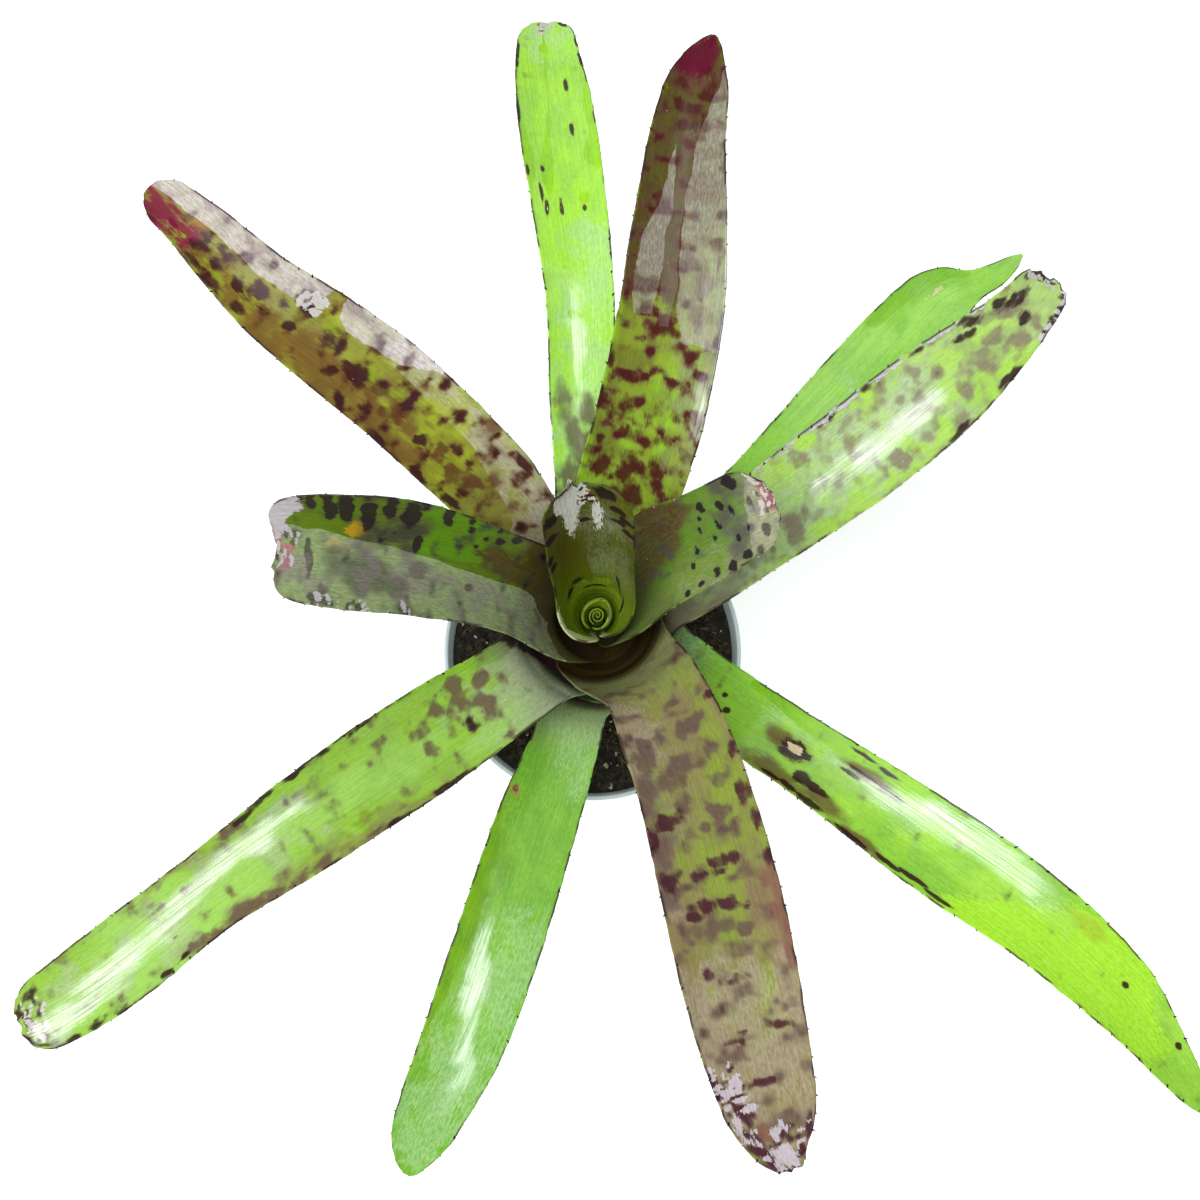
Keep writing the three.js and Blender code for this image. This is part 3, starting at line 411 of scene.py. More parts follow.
LOOKS["leaf_spotted_left"] = dict(
    torn=[[126, 136, -0.7, -0.3, 16]], bands=(9.5, 0.75, 1.5), green=("#acb838", "#9a9a40"),
    wash="#8a6a2a", dark="#40161c", blush="#6a4028", scurf="#e4d8de", red="#8c2048", pale="#d8d4cf",
    lime="#98a82a", base="#4a4a1a", lip="#6a6030", veil=0.02, faint=0.6, mottle=("#6c4a20", 0.35),
    areas=[
        ("wash", [[66, 0.4, 1.2], [100, 0.2, 1.2], [124, -0.1, 1.2], [140, 0.3, 1.2], [176, 0.1, 0.6]]),
        ("wet", [[14, 0.9, 1.2], [24, 0.1, 1.2], [60, -0.3, 1.2], [93, -0.4, 1.2], [120, -0.34, 1.2],
            [123, -0.6, 1.2], [128, -0.66, 1.2], [131, -0.29, 1.2], [160, -0.24, 1.2],
            [181, -0.17, 1.2], [200, -0.24, 1.2]]),
        ("scurf", [[80, -1.2, -1], [96, -1.2, -0.46], [120, -1.2, -0.36], [122, -1.2, -0.62]]),
        ("scurf", [[128, -1.2, -0.68], [131, -1.2, -0.3], [160, -1.2, -0.26], [181, -1.2, -0.19],
            [200, -1.2, -0.26]]),
        ("haze_and_sheen", [[10, -1.2, -0.2], [40, -1.2, 0], [62, -1.2, -0.25], [104, -1.2, -0.4]]),
        ("red", [[176, 0.15, 0.8], [184, -0.15, 1.1], [200, -0.25, 1]]),
    ],
    spots={
        "lime": [[161, 0.62, 3, 2], [167, 0.5, 2, 1.6], [90, -0.05, 5, 3], [120, -0.25, 4, 2],
            [100, 0, 4, 2], [136, -0.2, 4, 1.6]],
        "gold": [[177, -0.12, 3, 2.4]],
        "dark": [[183, 0.5, 2, 1.4], [170, 0.21, 3, 2], [165, -0.02, 2.4, 2], [164, 0.36, 2.4, 2],
            [168, 0.8, 4, 1.6], [160, 0.85, 4, 1.4], [154, 0.31, 2.8, 2.7], [147, 0.02, 2.6, 2.4],
            [138, -0.1, 2.8, 2.4], [133, 0.24, 1.7, 1.7], [148, 0.73, 3, 2], [130, -0.36, 2, 3],
            [120, 0.02, 3.2, 2.8], [112, 0.42, 2.2, 2.4], [104, 0.2, 4.2, 3.4], [109, 0.2, 2, 2],
            [94, 0.6, 2.4, 2.4], [72, 0.34, 2.4, 2.2], [40, -0.84, 3, 2.4], [26, -0.92, 3, 1.8],
            [48, 0.85, 4, 1.6], [64, 0.93, 4, 1.3], [84, 0.94, 4, 1.3]],
        "blush": [[77, -0.22, 3, 3], [63, 0.2, 3, 3], [46, 0.28, 3.4, 3.6], [42, -0.22, 3, 4],
            [36, 0.26, 3, 3.4], [29, -0.1, 3, 3.4], [56, -0.9, 4, 3], [118, -0.7, 4, 5],
            [108, -0.8, 4, 4], [96, 0.2, 4, 4], [86, 0.4, 4, 4], [54, 0.5, 3, 4], [172, -0.5, 4, 3],
            [150, -0.62, 4, 3], [140, -0.7, 3, 3], [160, -0.8, 4, 2]],
    })
LOOKS["leaf_glossy_right"] = dict(
    bands=(14, 2.4, 3.6), green=("#94d424", "#a6e23a"), wash="#b4c46c", dark="#30101c", blush="#6e5034",
    scurf="#cfe3c6", pale="#f0dcb4", gold="#aacc0c", lime="#aef00c", base="#3c5a26", lip="#5f9048",
    veil=0.06, crisp=True, calm=0.35, mottle=("#7cbc34", 0.45),
    areas=[
        ("shine", [[45, -0.95, -0.3], [68, -0.5, 0.1], [97, -0.05, 0.55], [134, 0.4, 1.1],
            [156, 0.25, 1], [174, 0, 0.5]]),
        ("wet", [[36, 0.82, 1.2], [60, 0.6, 1.2], [90, 0.5, 1.2], [110, 0.5, 1.2]]),
        ("lime", [[130, -1.2, -0.9], [150, -1.2, -0.1], [168, -1.2, 0.7], [184, -1.2, 1.2],
            [204, -1.2, 0.9], [222, -1.2, 0]]),
        ("haze_and_sheen", [[52, 0.36, 0.56], [76, 0.3, 0.5], [112, 0.2, 0.5]]),
        ("haze_and_sheen", [[0, -1.2, 1.2], [12, -0.6, 0.8]]),
        ("scurf", [[112, 0.66, 0.74], [126, 0.66, 0.74]]),
    ],
    spots={
        "dark": [[63, 0, 6, 4.2], [71, -0.5, 3.4, 2.6], [77, -0.52, 5, 1.6], [78, -0.92, 6, 1.3],
            [69, -0.9, 4, 1.2], [62, -0.93, 4, 0.8], [121, -0.84, 6, 0.9], [112, -0.9, 5, 0.9],
            [96, -0.95, 7, 0.8], [131, -0.9, 5, 0.8], [85, 0.86, 5, 0.7], [95, 0.8, 4, 0.7],
            [90, 0.46, 8, 0.7], [100, 0.42, 5, 0.7], [84, 0.3, 4, 0.7], [197, 0.26, 1.4, 1],
            [224, 0.6, 1.4, 1], [30, 0.2, 1.2, 1.2], [20, 0, 2, 1.6], [34, -0.1, 1.4, 1.2]],
        "pale": [[63, 0.04, 3.2, 1.5], [119, 0.7, 6, 0.6]],
        "blush": [[56, 0.05, 5, 4], [62, -0.8, 16, 4], [84, -0.7, 10, 3], [100, -0.9, 10, 2],
            [90, 0.5, 10, 2]],
        "gold": [[176, 0.66, 7, 3]],
    })
LOOKS["leaf_lime_back"] = dict(
    fray=1.0, torn=[[214, 224, -0.9, 0.9, 12]], bands=(16, 2.6, 9), green=("#acee1e", "#aeec44"),
    wash="#8fc04c", dark="#44323a", blush="#6a6048", scurf="#ccf0ba", pale="#d9d8c4", base="#5a4c28",
    lip="#6e7050", veil=0.12, crisp=True, mottle=("#8ecc48", 0.45),
    areas=[
        ("shine", [[40, 0.3, 1.1], [60, 0.1, 0.8], [85, -0.05, 0.55], [112, -0.05, 0.4],
            [126, 0, 0.2]]),
        ("wet", [[138, 0.44, 0.56], [146, 0.3, 0.62], [156, 0.24, 0.52], [167, 0.22, 0.34],
            [178, 0.12, 0.2], [200, 0.02, 0.12], [211, 0.06, 0.16], [214, 0.16, 0.22]]),
        ("wet", [[146, -1.2, -0.95], [150, -1.2, -0.62], [153, -1.2, -0.5], [156, -1.2, -0.62],
            [166, -1.2, -0.84], [176, -1.2, -0.7], [188, -1.2, -0.95]]),
        ("wet", [[136, 1, 1.2], [150, 0.72, 1.2], [165, 0.8, 1.2], [182, 0.98, 1.2]]),
        ("haze_and_sheen", [[0, -1.2, 1.2], [24, -1.2, 1.2], [60, -1.2, 0.5], [124, -1.2, 0.1]]),
        ("haze_and_sheen", [[204, -0.9, 0.9], [222, -0.9, 0.9]]),
        ("pale", [[219, -0.6, 0.2], [222, -0.8, 0.6]]),
    ],
    spots={
        "wet": [[136, -0.45, 2.8, 2.8], [91, 0.23, 1.9, 1.8], [206, 0.12, 2.4, 1.8]],
        "dark": [[133, 0.6, 3.4, 0.8], [134, 0.21, 2.8, 0.8], [132, -0.42, 1.4, 0.9],
            [186, -0.4, 3, 0.8], [166, -0.36, 3, 0.9], [150, 0.95, 3, 0.8], [206, -0.98, 4, 0.7],
            [196, -0.98, 4, 0.6], [203, 0.98, 6, 0.7], [176, 0.98, 6, 0.6], [218, -0.85, 1.4, 1.2],
            [150, 0.55, 1.2, 0.6], [140, 0.7, 4, 0.6]],
        "pale": [[133, 0.6, 2, 0.35], [134, 0.21, 1.7, 0.35], [132, -0.42, 0.7, 0.5]],
        "blush": [[42, -0.1, 8, 5], [54, -0.1, 7, 4], [46, 0.32, 8, 4], [58, 0.55, 8, 4], [36, 0, 8, 6],
            [30, 0.5, 8, 6]],
    })
LOOKS["leaf_plain_front"] = dict(
    green=("#6cac14", "#80bc34"), wash="#80b40e", dark="#6b3b22", blush="#9a9a86", scurf="#c0e6a6",
    pale="#e8dcc0", base="#5c3e3a", lip="#b8c48e", veil=0.08, mottle=("#5e9a22", 0.4),
    areas=[
        ("shine", [[70, -0.8, -0.5], [94, -0.6, -0.3], [118, -0.35, 0.1], [141, -0.1, 0.5],
            [165, 0.2, 0.6]]),
        ("wet", [[50, -1.2, -0.96], [70, -1.2, -0.66], [100, -1.2, -0.56], [118, -1.2, -0.72],
            [136, -1.2, -0.98]]),
        ("wash", [[40, -1.2, -0.6], [100, -1.2, -0.5], [150, -1.2, -0.7]]),
        ("haze_and_sheen", [[0, -1.2, 1.2], [8, -0.8, 1.2], [18, 0, 1.2], [34, 0.5, 1.2]]),
        # This haze, in the scurf colour, is a painted milky sheen over the crest of the blade.
        ("haze_and_sheen", [[88, -0.3, 1], [112, -0.4, 1.2], [140, -0.8, 1.2], [182, -1.2, 1.2]]),
    ],
    spots={
        "dark": [[42.6, -0.82, 1.7, 1.1]],
        "gold": [[42.6, -0.82, 2.6, 1.8]],
        "pale": [[42.6, -0.82, 0.8, 0.5]],
    })
LOOKS["leaf_plain_right"] = dict(
    green=("#9cde3c", "#a4de58"), wash="#8cd020", dark="#6a6a38", scurf="#c6dcb8", pale="#ead9b4",
    base="#45602a", lip="#6c9450", veil=0.12, mottle=("#80c048", 0.4),
    areas=[
        ("wash", [[126, 0.3, 1.2], [150, 0.2, 1.2], [166, 0.4, 1.2]]),
        ("wet", [[126, 0.66, 1.2], [150, 0.5, 1.2], [166, 0.7, 1.2]]),
        ("haze_and_sheen", [[24, -1.2, -0.3], [62, -1.2, -0.4]]),
        ("haze_and_sheen", [[10, -0.8, 0.6], [60, -0.6, 0.3], [100, -0.5, 0.2]]),
        ("pale", [[141, 0.34, 0.38], [147, 0.3, 0.36], [153, 0.29, 0.31]]),
    ])

# How far each kind of mark fades at its edge in mm, and how much noise breaks that edge up.
SOFT = dict(wet=2.4, scurf=2.4, haze_and_sheen=18.0, wash=10.0, red=7.0, pale=4.0, blush=12.0, dark=3.0,
            gold=2.5, lime=10.0, shine=8.0)
ROUGH = dict(wet=0.3, scurf=0.5, haze_and_sheen=1.0, wash=0.9, red=0.8, pale=0.7, blush=0.8, dark=0.65,
             gold=0.7, lime=1.0, shine=0.4)
STREAKED = ("dark", "red", "lime")

# The noises of a skin: length and width of one bump in mm, own seed and octaves.
SKIN_NOISE = {
    "warp": (22, 9, 30, 2), "dashes": (4.4, 5, 35, 4), "wobble": (8, 5, 50, 3),
    "drift": (8, 5, 60, 3), "clouds": (34, 13, 80, 3), "patch": (7, 5, 90, 4),
    "streak": (5, 1.7, 100, 3), "arcs": (1.5, 40, 110, 2), "uneven": (3.2, 2.6, 140, 4),
}
WOBBLE = 3.0
DRIFT = 0.12
SPOT_UNEVEN = 2.0
CRISP_UNEVEN = 0.6
BAND_WARP = 1.3
BAND_RIDGE = 0.1
BROWN_SLOPE = 0.4
BLACK_SLOPE = 0.6

# Runs from the mouth between which the sheath and the lip end and the bands begin, and how
# far apart the leaves and their under faces lie in the shader's noises.
SHEATH_END = (-9, 3)
LIP_END = (4, 30)
BANDS_START = (-8, 6)
LEAF_SHIFT = 40.0
UNDER_SHIFT = 20.0

# The values of a mask where its paint starts and is full, and how far fine grain shifts them.
EDGES = {
    "wet": (0.46, 0.54, 0.1), "scurf": (0.42, 0.58, 0.2), "pale": (0.48, 0.62, 0.6),
    "wash": (0.12, 0.88, 0.5), "lime": (0.2, 0.8, 0.5), "gold": (0.3, 0.75, 0.6),
    "haze_and_sheen": (0.0, 1.0, 0.5), "blush": (0.1, 1.0, 0.3), "red": (0.25, 0.8, 0.5),
    "halo": (0.0, 0.7, 0.3), "crisp": (0.4, 0.65, 0.3), "soft": (0.12, 0.95, 0.3),
}

Section = namedtuple("Section", "middle side up along lean blade part")


# Shapes of a leaf

def mix(a, b, t):
    return a + (b - a) * t


def smoothstep(low, high, x):
    t = np.clip((x - low) / (high - low), 0.0, 1.0)
    return t * t * (3 - 2 * t)


def unit(vectors):
    return vectors / np.linalg.norm(vectors, axis=-1, keepdims=True)


def dot(a, b):
    return (a * b).sum(axis=-1, keepdims=True)


@lru_cache(maxsize=None)
def noise_table(seed):
    return np.random.default_rng(seed).random((NOISE_CELLS, NOISE_CELLS))


def fuzz(x, y, seed, octaves=3):
    """Smooth noise from 0 to 1 over the plane, one bump to a unit."""
    total = 0.0
    weight = 0.0
    for octave in range(octaves):
        table = noise_table(seed + octave)
        px = x * 2**octave
        py = y * 2**octave
        ix = np.floor(px).astype(int)
        iy = np.floor(py).astype(int)
        left, right = ix % NOISE_CELLS, (ix + 1) % NOISE_CELLS
        near, far = iy % NOISE_CELLS, (iy + 1) % NOISE_CELLS
        fx = smoothstep(0, 1, px - ix)
        fy = smoothstep(0, 1, py - iy)
        low = mix(table[left, near], table[right, near], fx)
        high = mix(table[left, far], table[right, far], fx)
        total = total + mix(low, high, fy) / 2**octave
        weight += 1 / 2**octave
    return total / weight


def smooth_between(a, b, c, d, t):
    """Value at t from b to c, on a smooth curve that a and d belong to as well."""
    leaving = (c - a) / 2
    arriving = (d - b) / 2
    cubic = 2 * b - 2 * c + leaving + arriving
    square = -3 * b + 3 * c - 2 * leaving - arriving
    return ((cubic * t + square) * t + leaving) * t + b


def attach_height(rank):
    return ATTACH_TOP - ATTACH_STEP * rank


def attach_radius(rank):
    return STEM_TOP_RADIUS + STEM_STEP * rank


def thickness(blade, across):
    middle = mix(SHEATH_THICKNESS, BLADE_THICKNESS, blade)
    return mix(middle, MARGIN_THICKNESS, np.minimum(1, np.abs(across)) ** 2)


def tilt(arc, fold, t):
    """Slope of a section that bends evenly by its arc and creases by its fold."""
    return arc * t + fold * t / np.hypot(t, FOLD_SOFTNESS)


class Leaf:
    """Midrib, widths and sections of one leaf, by the rules of its CAD solid."""

    def __init__(self, name):
        self.row = {"curl": 0.0, "fold": [0, 0], "roll": [0, 0], **LEAVES[name]}
        self.turn = math.radians(self.row["heading"])
        steps = (np.arange(CURVE_STEPS) / CURVE_STEPS)[:, None]
        knots = self.knots()
        before = 2 * knots[0] - knots[1]
        after = 2 * knots[-1] - knots[-2]
        knots = np.vstack([before, knots, after])
        spans = [
            smooth_between(*knots[i - 1:i + 3], steps) for i in range(1, len(knots) - 2)
        ]
        self.points = np.vstack(spans + [knots[-2:-1]])
        gaps = np.linalg.norm(np.diff(self.points[:, :3], axis=0), axis=1)
        self.runs = np.concatenate([[0], np.cumsum(gaps)])
        self.length = self.runs[-1]
        self.mouth = self.runs[2 * CURVE_STEPS]

    def knots(self):
        """Rows [x, y, z, half width] that the midrib passes: the sheath's, then the path's."""
        rank = self.row["rank"]
        mouth_radius, mouth_height = self.row["mouth"]
        knots = []
        for part, wrap in zip((0, 0.5, 1), self.row["wrap"]):
            rise = math.sin(math.pi / 2 * part)
            radius = mix(attach_radius(rank), mouth_radius, rise)
            height = mix(attach_height(rank), mouth_height, part)
            knots.append([radius, 0, height, radius * math.radians(wrap)])
        knots = np.array(knots + self.row["path"], dtype=float)
        out, left = knots[:, 0].copy(), knots[:, 1].copy()
        cos, sin = math.cos(self.turn), math.sin(self.turn)
        knots[:, 0] = STEM[0] + out * cos - left * sin
        knots[:, 1] = STEM[1] + out * sin + left * cos
        knots[:, 2] += SOIL_TOP
        return knots

    def along(self, run):
        return np.stack([np.interp(run, self.runs, column) for column in self.points.T], -1)

    def half_width(self, run):
        length, power = self.row["tip"]
        part = np.clip((run - self.length + length) / length, 0, 1)
        return self.along(run)[..., 3] * (1 - part**power) ** (1 / power)

    def ends(self, key, part):
        return np.radians(mix(*self.row[key], part))

    def opening(self, run):
        """0 in the sheath, 1 in the blade, and between them over the lip."""
        return smoothstep(self.mouth - LIP_BEFORE, self.mouth + LIP_AFTER, run)[:, None]

    def sections(self, run):
        """The level frame of the sheath turning into the blade's own, at each run."""
        middle = self.along(run)[:, :3]
        ahead, back = self.along(run + TANGENT_STEP), self.along(run - TANGENT_STEP)
        along = unit(ahead[:, :3] - back[:, :3])
        left = np.array([[-math.sin(self.turn), math.cos(self.turn), 0]])
        inward = np.array([[-math.cos(self.turn), -math.sin(self.turn), 0]])
        blade_left = unit(left - along * dot(left, along))
        blade_up = np.cross(along, blade_left)
        blade = self.opening(run)
        part = np.maximum(0, (run - self.mouth) / (self.length - self.mouth))[:, None]
        side = unit(mix(left, blade_left, blade))
        up = unit(mix(inward, blade_up, blade))
        up = unit(up - side * dot(up, side))
        roll = self.ends("roll", part) * blade
        cos, sin = np.cos(roll), np.sin(roll)
        side, up = side * cos + up * sin, up * cos - side * sin
        lean = np.maximum(LEAST_LEAN, dot(up, blade_up))
        return Section(middle, side, up, along, lean, blade, part)

    def surface(self, run, across, lift):
        """Points at each run and each place across, lifted off the middle of the leaf."""
        at = self.sections(run)
        half = self.half_width(run)[:, None]
        radius = np.linalg.norm(at.middle[:, :2] - STEM, axis=1)[:, None]
        arc = mix(half / radius, self.ends("arc", at.part), at.blade)
        fold = self.ends("fold", at.part) * at.blade
        reach = np.abs(across)
        middles = (np.arange(SECTION_STEPS) + 0.5) / SECTION_STEPS
        angles = tilt(arc[..., None], fold[..., None], reach[..., None] * middles)
        sign = np.sign(across)
        x = sign * np.cos(angles).mean(-1) * reach * half
        y = np.sin(angles).mean(-1) * reach * half
        angle = sign * tilt(arc, fold, reach)
        x = x - np.sin(angle) * lift / at.lean
        y = y + np.cos(angle) * lift / at.lean
        points = at.middle[:, None] + at.side[:, None] * x[..., None] + at.up[:, None] * y[..., None]
        curl = 1 + self.row["curl"] * across * (1 - at.blade)
        points[..., :2] = STEM + (points[..., :2] - STEM) * curl[..., None]
        return points


# Masks of the marks on a leaf's skin

def look_of(name):
    return {**PLAIN_LOOK, **LOOKS[name]}


def rounded(rows, column, run):
    """The line through an area's points, with its corners rounded."""
    shifts = (-3.0, -1.0, 1.0, 3.0)
    return sum(np.interp(run + s, rows[:, 0], rows[:, column]) for s in shifts) / len(shifts)


def area_mask(rows, run, across, half, soft):
    """0.5 on the area's outline, 1 well inside it and 0 well outside."""
    rows = np.array(rows, dtype=float)
    inside = np.minimum(across - rounded(rows, 1, run), rounded(rows, 2, run) - across) * half
    ends = np.minimum(run - rows[0, 0], rows[-1, 0] - run)
    return np.clip(0.5 + np.minimum(inside, ends) / soft, 0, 1)


def spot_mask(rows, run, across, half, uneven=0.0):
    """0.5 on the spots' outlines, which the uneven distance pushes in and out."""
    mask = np.zeros_like(run)
    for place, at, length, width in rows:
        far = np.hypot((run - place) / length, (across - at) * half / width) + uneven
        mask = np.maximum(mask, np.clip(1.5 - far, 0, 1))
    return mask


def dash_rows(start, end, pitch, seed):
    """Short dashes along the leaf, gathered in cross rows that aren't quite regular."""
    rng = np.random.default_rng(seed)
    outermost, places, share = 0.92, 10, 0.6
    dashes = []
    place = start
    while place < end:
        slant = rng.uniform(-2.5, 2.5)
        for at in np.linspace(-outermost, outermost, places):
            if rng.random() < share:
                at = at + rng.uniform(-0.08, 0.08)
                run = place + slant * at + rng.uniform(-0.14, 0.14) * pitch
                length = rng.uniform(0.14, 0.3) * pitch
                dashes.append([run, at, length, rng.uniform(1.2, 2.8)])
        place += pitch * rng.uniform(0.85, 1.15)
    return dashes


def torn_flecks(rows, seed):
    """Small slanting scraps of dead skin, and the dark bits beside them, by kind."""
    rng = np.random.default_rng(seed)
    flecks = {"pale": [], "dark": []}
    for start, end, low, high, count in rows:
        for _ in range(count):
            run, at = rng.uniform(start, end), rng.uniform(low, high)
            flecks["pale"].append([run, at, rng.uniform(0.5, 1.1), rng.uniform(0.8, 2.4)])
            beside = run + rng.uniform(1.2, 2.4)
            flecks["dark"].append([beside, at, rng.uniform(0.5, 1.0), rng.uniform(0.8, 2.0)])
    return flecks


def spread(values):
    """Noise stretched so that most of it fills the range from 0 to 1."""
    deviations = 3.4
    return np.clip(0.5 + (values - values.mean()) / (deviations * values.std()), 0, 1)


def skin_noise(kind, run, y, seed):
    length, width, own_seed, octaves = SKIN_NOISE[kind]
    return fuzz(run / length, y / width, seed + own_seed, octaves)


def tiger(run, y, pitch, seed):
    """Blotches gathered in wavy cross bands, in standard deviations."""
    warp = (skin_noise("warp", run, y, seed) - 0.5) * BAND_WARP * pitch
    ridge = np.cos(FULL_TURN * (run + warp) / pitch)
    values = ridge * BAND_RIDGE + skin_noise("dashes", run, y, seed)
    return (values - values.mean()) / values.std()


def placed_marks(look, run, across, half, seed):
    """The marks whose places the look gives, with wavering outlines."""
    y = across * half
    wobble = (skin_noise("wobble", run, y, seed) - 0.5) * WOBBLE
    drift = (skin_noise("drift", run, y, seed) - 0.5) * DRIFT
    uneven = skin_noise("uneven", run, y, seed) - 0.5
    uneven = uneven * (CRISP_UNEVEN if look["crisp"] else SPOT_UNEVEN)
    masks = {kind: np.zeros_like(run) for kind in SOFT}

    def mark(kind, mask):
        masks[kind] = np.maximum(masks[kind], mask)

    for kind, rows in look["areas"]:
        mark(kind, area_mask(rows, run + wobble, across + drift, half, SOFT[kind]))
    for kind, rows in look["spots"].items():
        mark(kind, spot_mask(rows, run + wobble * 0.4, across + drift * 0.3, half, uneven))
    for kind, rows in torn_flecks(look["torn"], seed + 120).items():
        mark(kind, spot_mask(rows, run + wobble, across, half))
    for number, (start, end, pitch, kind, strength) in enumerate(look["rows"]):
        dashes = dash_rows(start, end, pitch, seed + 70 + number)
        mark(kind, spot_mask(dashes, run + wobble * 0.7, across, half, uneven) * strength)
    return masks


def leaf_masks(look, run, across, half, seed):
    """How strongly each kind of mark shows at each point, and the noises of the skin."""
    y = across * half
    patch = spread(skin_noise("patch", run, y, seed))
    streak = spread(skin_noise("streak", run, y, seed))
    masks = placed_marks(look, run, across, half, seed)
    for kind, rough in ROUGH.items():
        source = streak if kind in STREAKED else patch
        amount = np.clip(masks[kind] * 4, 0, 1) * look["calm"]
        masks[kind] = masks[kind] + (source - 0.5) * rough * amount
    pitch, brown, black = look["bands"]
    bands = tiger(run, y, pitch, seed) - 3 * (1 - smoothstep(*BANDS_START, run))
    masks["blush"] = np.maximum(masks["blush"], 0.5 + (bands - brown) * BROWN_SLOPE)
    masks["dark"] = np.maximum(masks["dark"], 0.5 + (bands - black) * BLACK_SLOPE)
    masks["arcs"] = smoothstep(0.45, 0.7, skin_noise("arcs", run, y, seed))
    masks["clouds"] = spread(skin_noise("clouds", run, y, seed))
    masks["patch"] = patch
    return masks


# Meshes

def new_object(name, points, faces, materials=(), smooth=True):
    mesh = bpy.data.meshes.new(name)
    mesh.from_pydata((np.asarray(points) * MM).tolist(), [], faces)
    mesh.polygons.foreach_set("use_smooth", [smooth] * len(mesh.polygons))
    for material in materials:
        mesh.materials.append(material)
    thing = bpy.data.objects.new(name, mesh)
    bpy.context.collection.objects.link(thing)
    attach(thing, "root")
    return thing


def add_values(mesh, name, values, kind="FLOAT", field="value"):
    layer = mesh.attributes.new(name, kind, "POINT")
    layer.data.foreach_set(field, np.asarray(values, dtype=np.float32).ravel())


def tube_walls(first, rings, count):
    """Four-cornered faces between rings of points that follow each other."""
    faces = []
    for ring in range(rings - 1):
        for k in range(count):
            a = first + ring * count + k
            b = first + ring * count + (k + 1) % count
            faces.append((a, b, b + count, a + count))
    return faces


def tube(first, rings, count):
    """The walls of a tube made of rings of points, and a face over each end."""
    last = first + (rings - 1) * count
    foot = tuple(reversed(range(first, first + count)))
    head = tuple(range(last, last + count))
    return tube_walls(first, rings, count) + [foot, head]


def leaf_runs(leaf):
    """Places of the mesh rows along a leaf, closer together towards the rounded tip."""
    tip = min(leaf.row["tip"][0], 0.4 * leaf.length)
    body = leaf.length - tip
    plain = np.linspace(0, body, max(8, round(body / ROW_PITCH)))
    turn = np.linspace(0, math.pi / 2, TIP_ROWS + 1)[1:]
    short_of_the_point = 0.9985
    return np.concatenate([plain, body + tip * short_of_the_point * np.sin(turn)])


def columns(count):
    """Places across the leaf, closer together towards the margins."""
    turns = np.linspace(-1, 1, count + 1) * MARGIN_CROWDING
    return np.sin(turns) / math.sin(MARGIN_CROWDING)


def bumps(run, y, seed, octaves=3):
    return fuzz(run, y, seed, octaves) - 0.5


def frayed(look, leaf, run, y, seed):
    """How far the torn end of a leaf stands out, with a few higher scraps."""
    end = smoothstep(leaf.length - FRAY_START, leaf.length - FRAY_FULL, run)
    out = bumps(y / 1.3, 0 * y + seed, seed + 130) * 2 * look["fray"]
    for place, height, width in look["scraps"]:
        out = out + height * np.exp(-((y - place) / width) ** 2)
    return (out * end)[..., None]


def leaf_points(look, leaf, runs, run, across, half, face, seed):
    """The leaf's own surface with an uneven margin, gentle waves and a frayed end."""
    blade = leaf.opening(runs)
    margin = np.sign(across)
    thin = np.clip(half / THIN_HALF_WIDTH, LEAST_THIN, 1)
    lift = face * thickness(blade, across) / 2 * thin
    ragged = bumps(run / RAGGED_LENGTH, margin * 7, seed + 11) * RAGGED
    bulge = (face == 0) * EDGE_BULGE / np.maximum(half, 0.5)
    reach = across * (1 + ragged / np.maximum(half, 3) + bulge)
    wave = bumps(run / WAVE_LENGTH, margin * 3, seed + 21, 2) * WAVE
    pucker = bumps(run / PUCKER_LENGTH, across * half / 7, seed + 31, 2) * PUCKER
    bend = blade * (wave * np.abs(across) ** 2 + pucker)
    points = leaf.surface(runs, reach, lift + bend)
    torn = frayed(look, leaf, run, across * half, seed)
    return points + leaf.sections(runs).along[:, None] * torn


def leaf_object(name, seed):
    """One leaf's skin: its upper and under faces, spines, and the masks of its marks."""
    leaf = Leaf(name)
    look = look_of(name)
    runs = leaf_runs(leaf)
    top = columns(COLUMNS)
    under = columns(UNDER_COLUMNS)[::-1]
    ring = np.concatenate([top, [1], under, [-1]])
    face = np.concatenate([np.ones(len(top)), [0], -np.ones(len(under)), [0]])
    run, across = np.meshgrid(runs, ring, indexing="ij")
    half = leaf.half_width(runs)[:, None] + 0 * across
    past_mouth = run - leaf.mouth
    masks = leaf_masks(look, past_mouth, across, half, seed)
    masks["under"] = (face < 0) * 1.0 + 0 * run
    masks["spine"] = 0 * run
    masks["across"] = across
    masks["sheath"] = 1 - smoothstep(*SHEATH_END, past_mouth)
    masks["lip"] = 1 - smoothstep(*LIP_END, past_mouth)
    layer = 0 * run + seed * LEAF_SHIFT + masks["under"] * UNDER_SHIFT
    place = np.stack([run, across * half, layer], -1)

    numbers = {key: list(value.ravel()) for key, value in masks.items()}
    vertices = leaf_points(look, leaf, runs, run, across, half, face, seed).reshape(-1, 3).tolist()
    places = place.reshape(-1, 3).tolist()
    faces = tube(0, len(runs), len(ring))
    add_spines(leaf, seed, vertices, faces, numbers, places)
    if name == "spear":
        add_roll(seed, vertices, faces, numbers, places)
    thing = new_object(name + "_skin", vertices, faces, [leaf_material(name, look)])
    for key, values in numbers.items():
        add_values(thing.data, key, values)
    add_values(thing.data, "place", places, "FLOAT_VECTOR", "vector")
    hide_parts(name)
    return thing


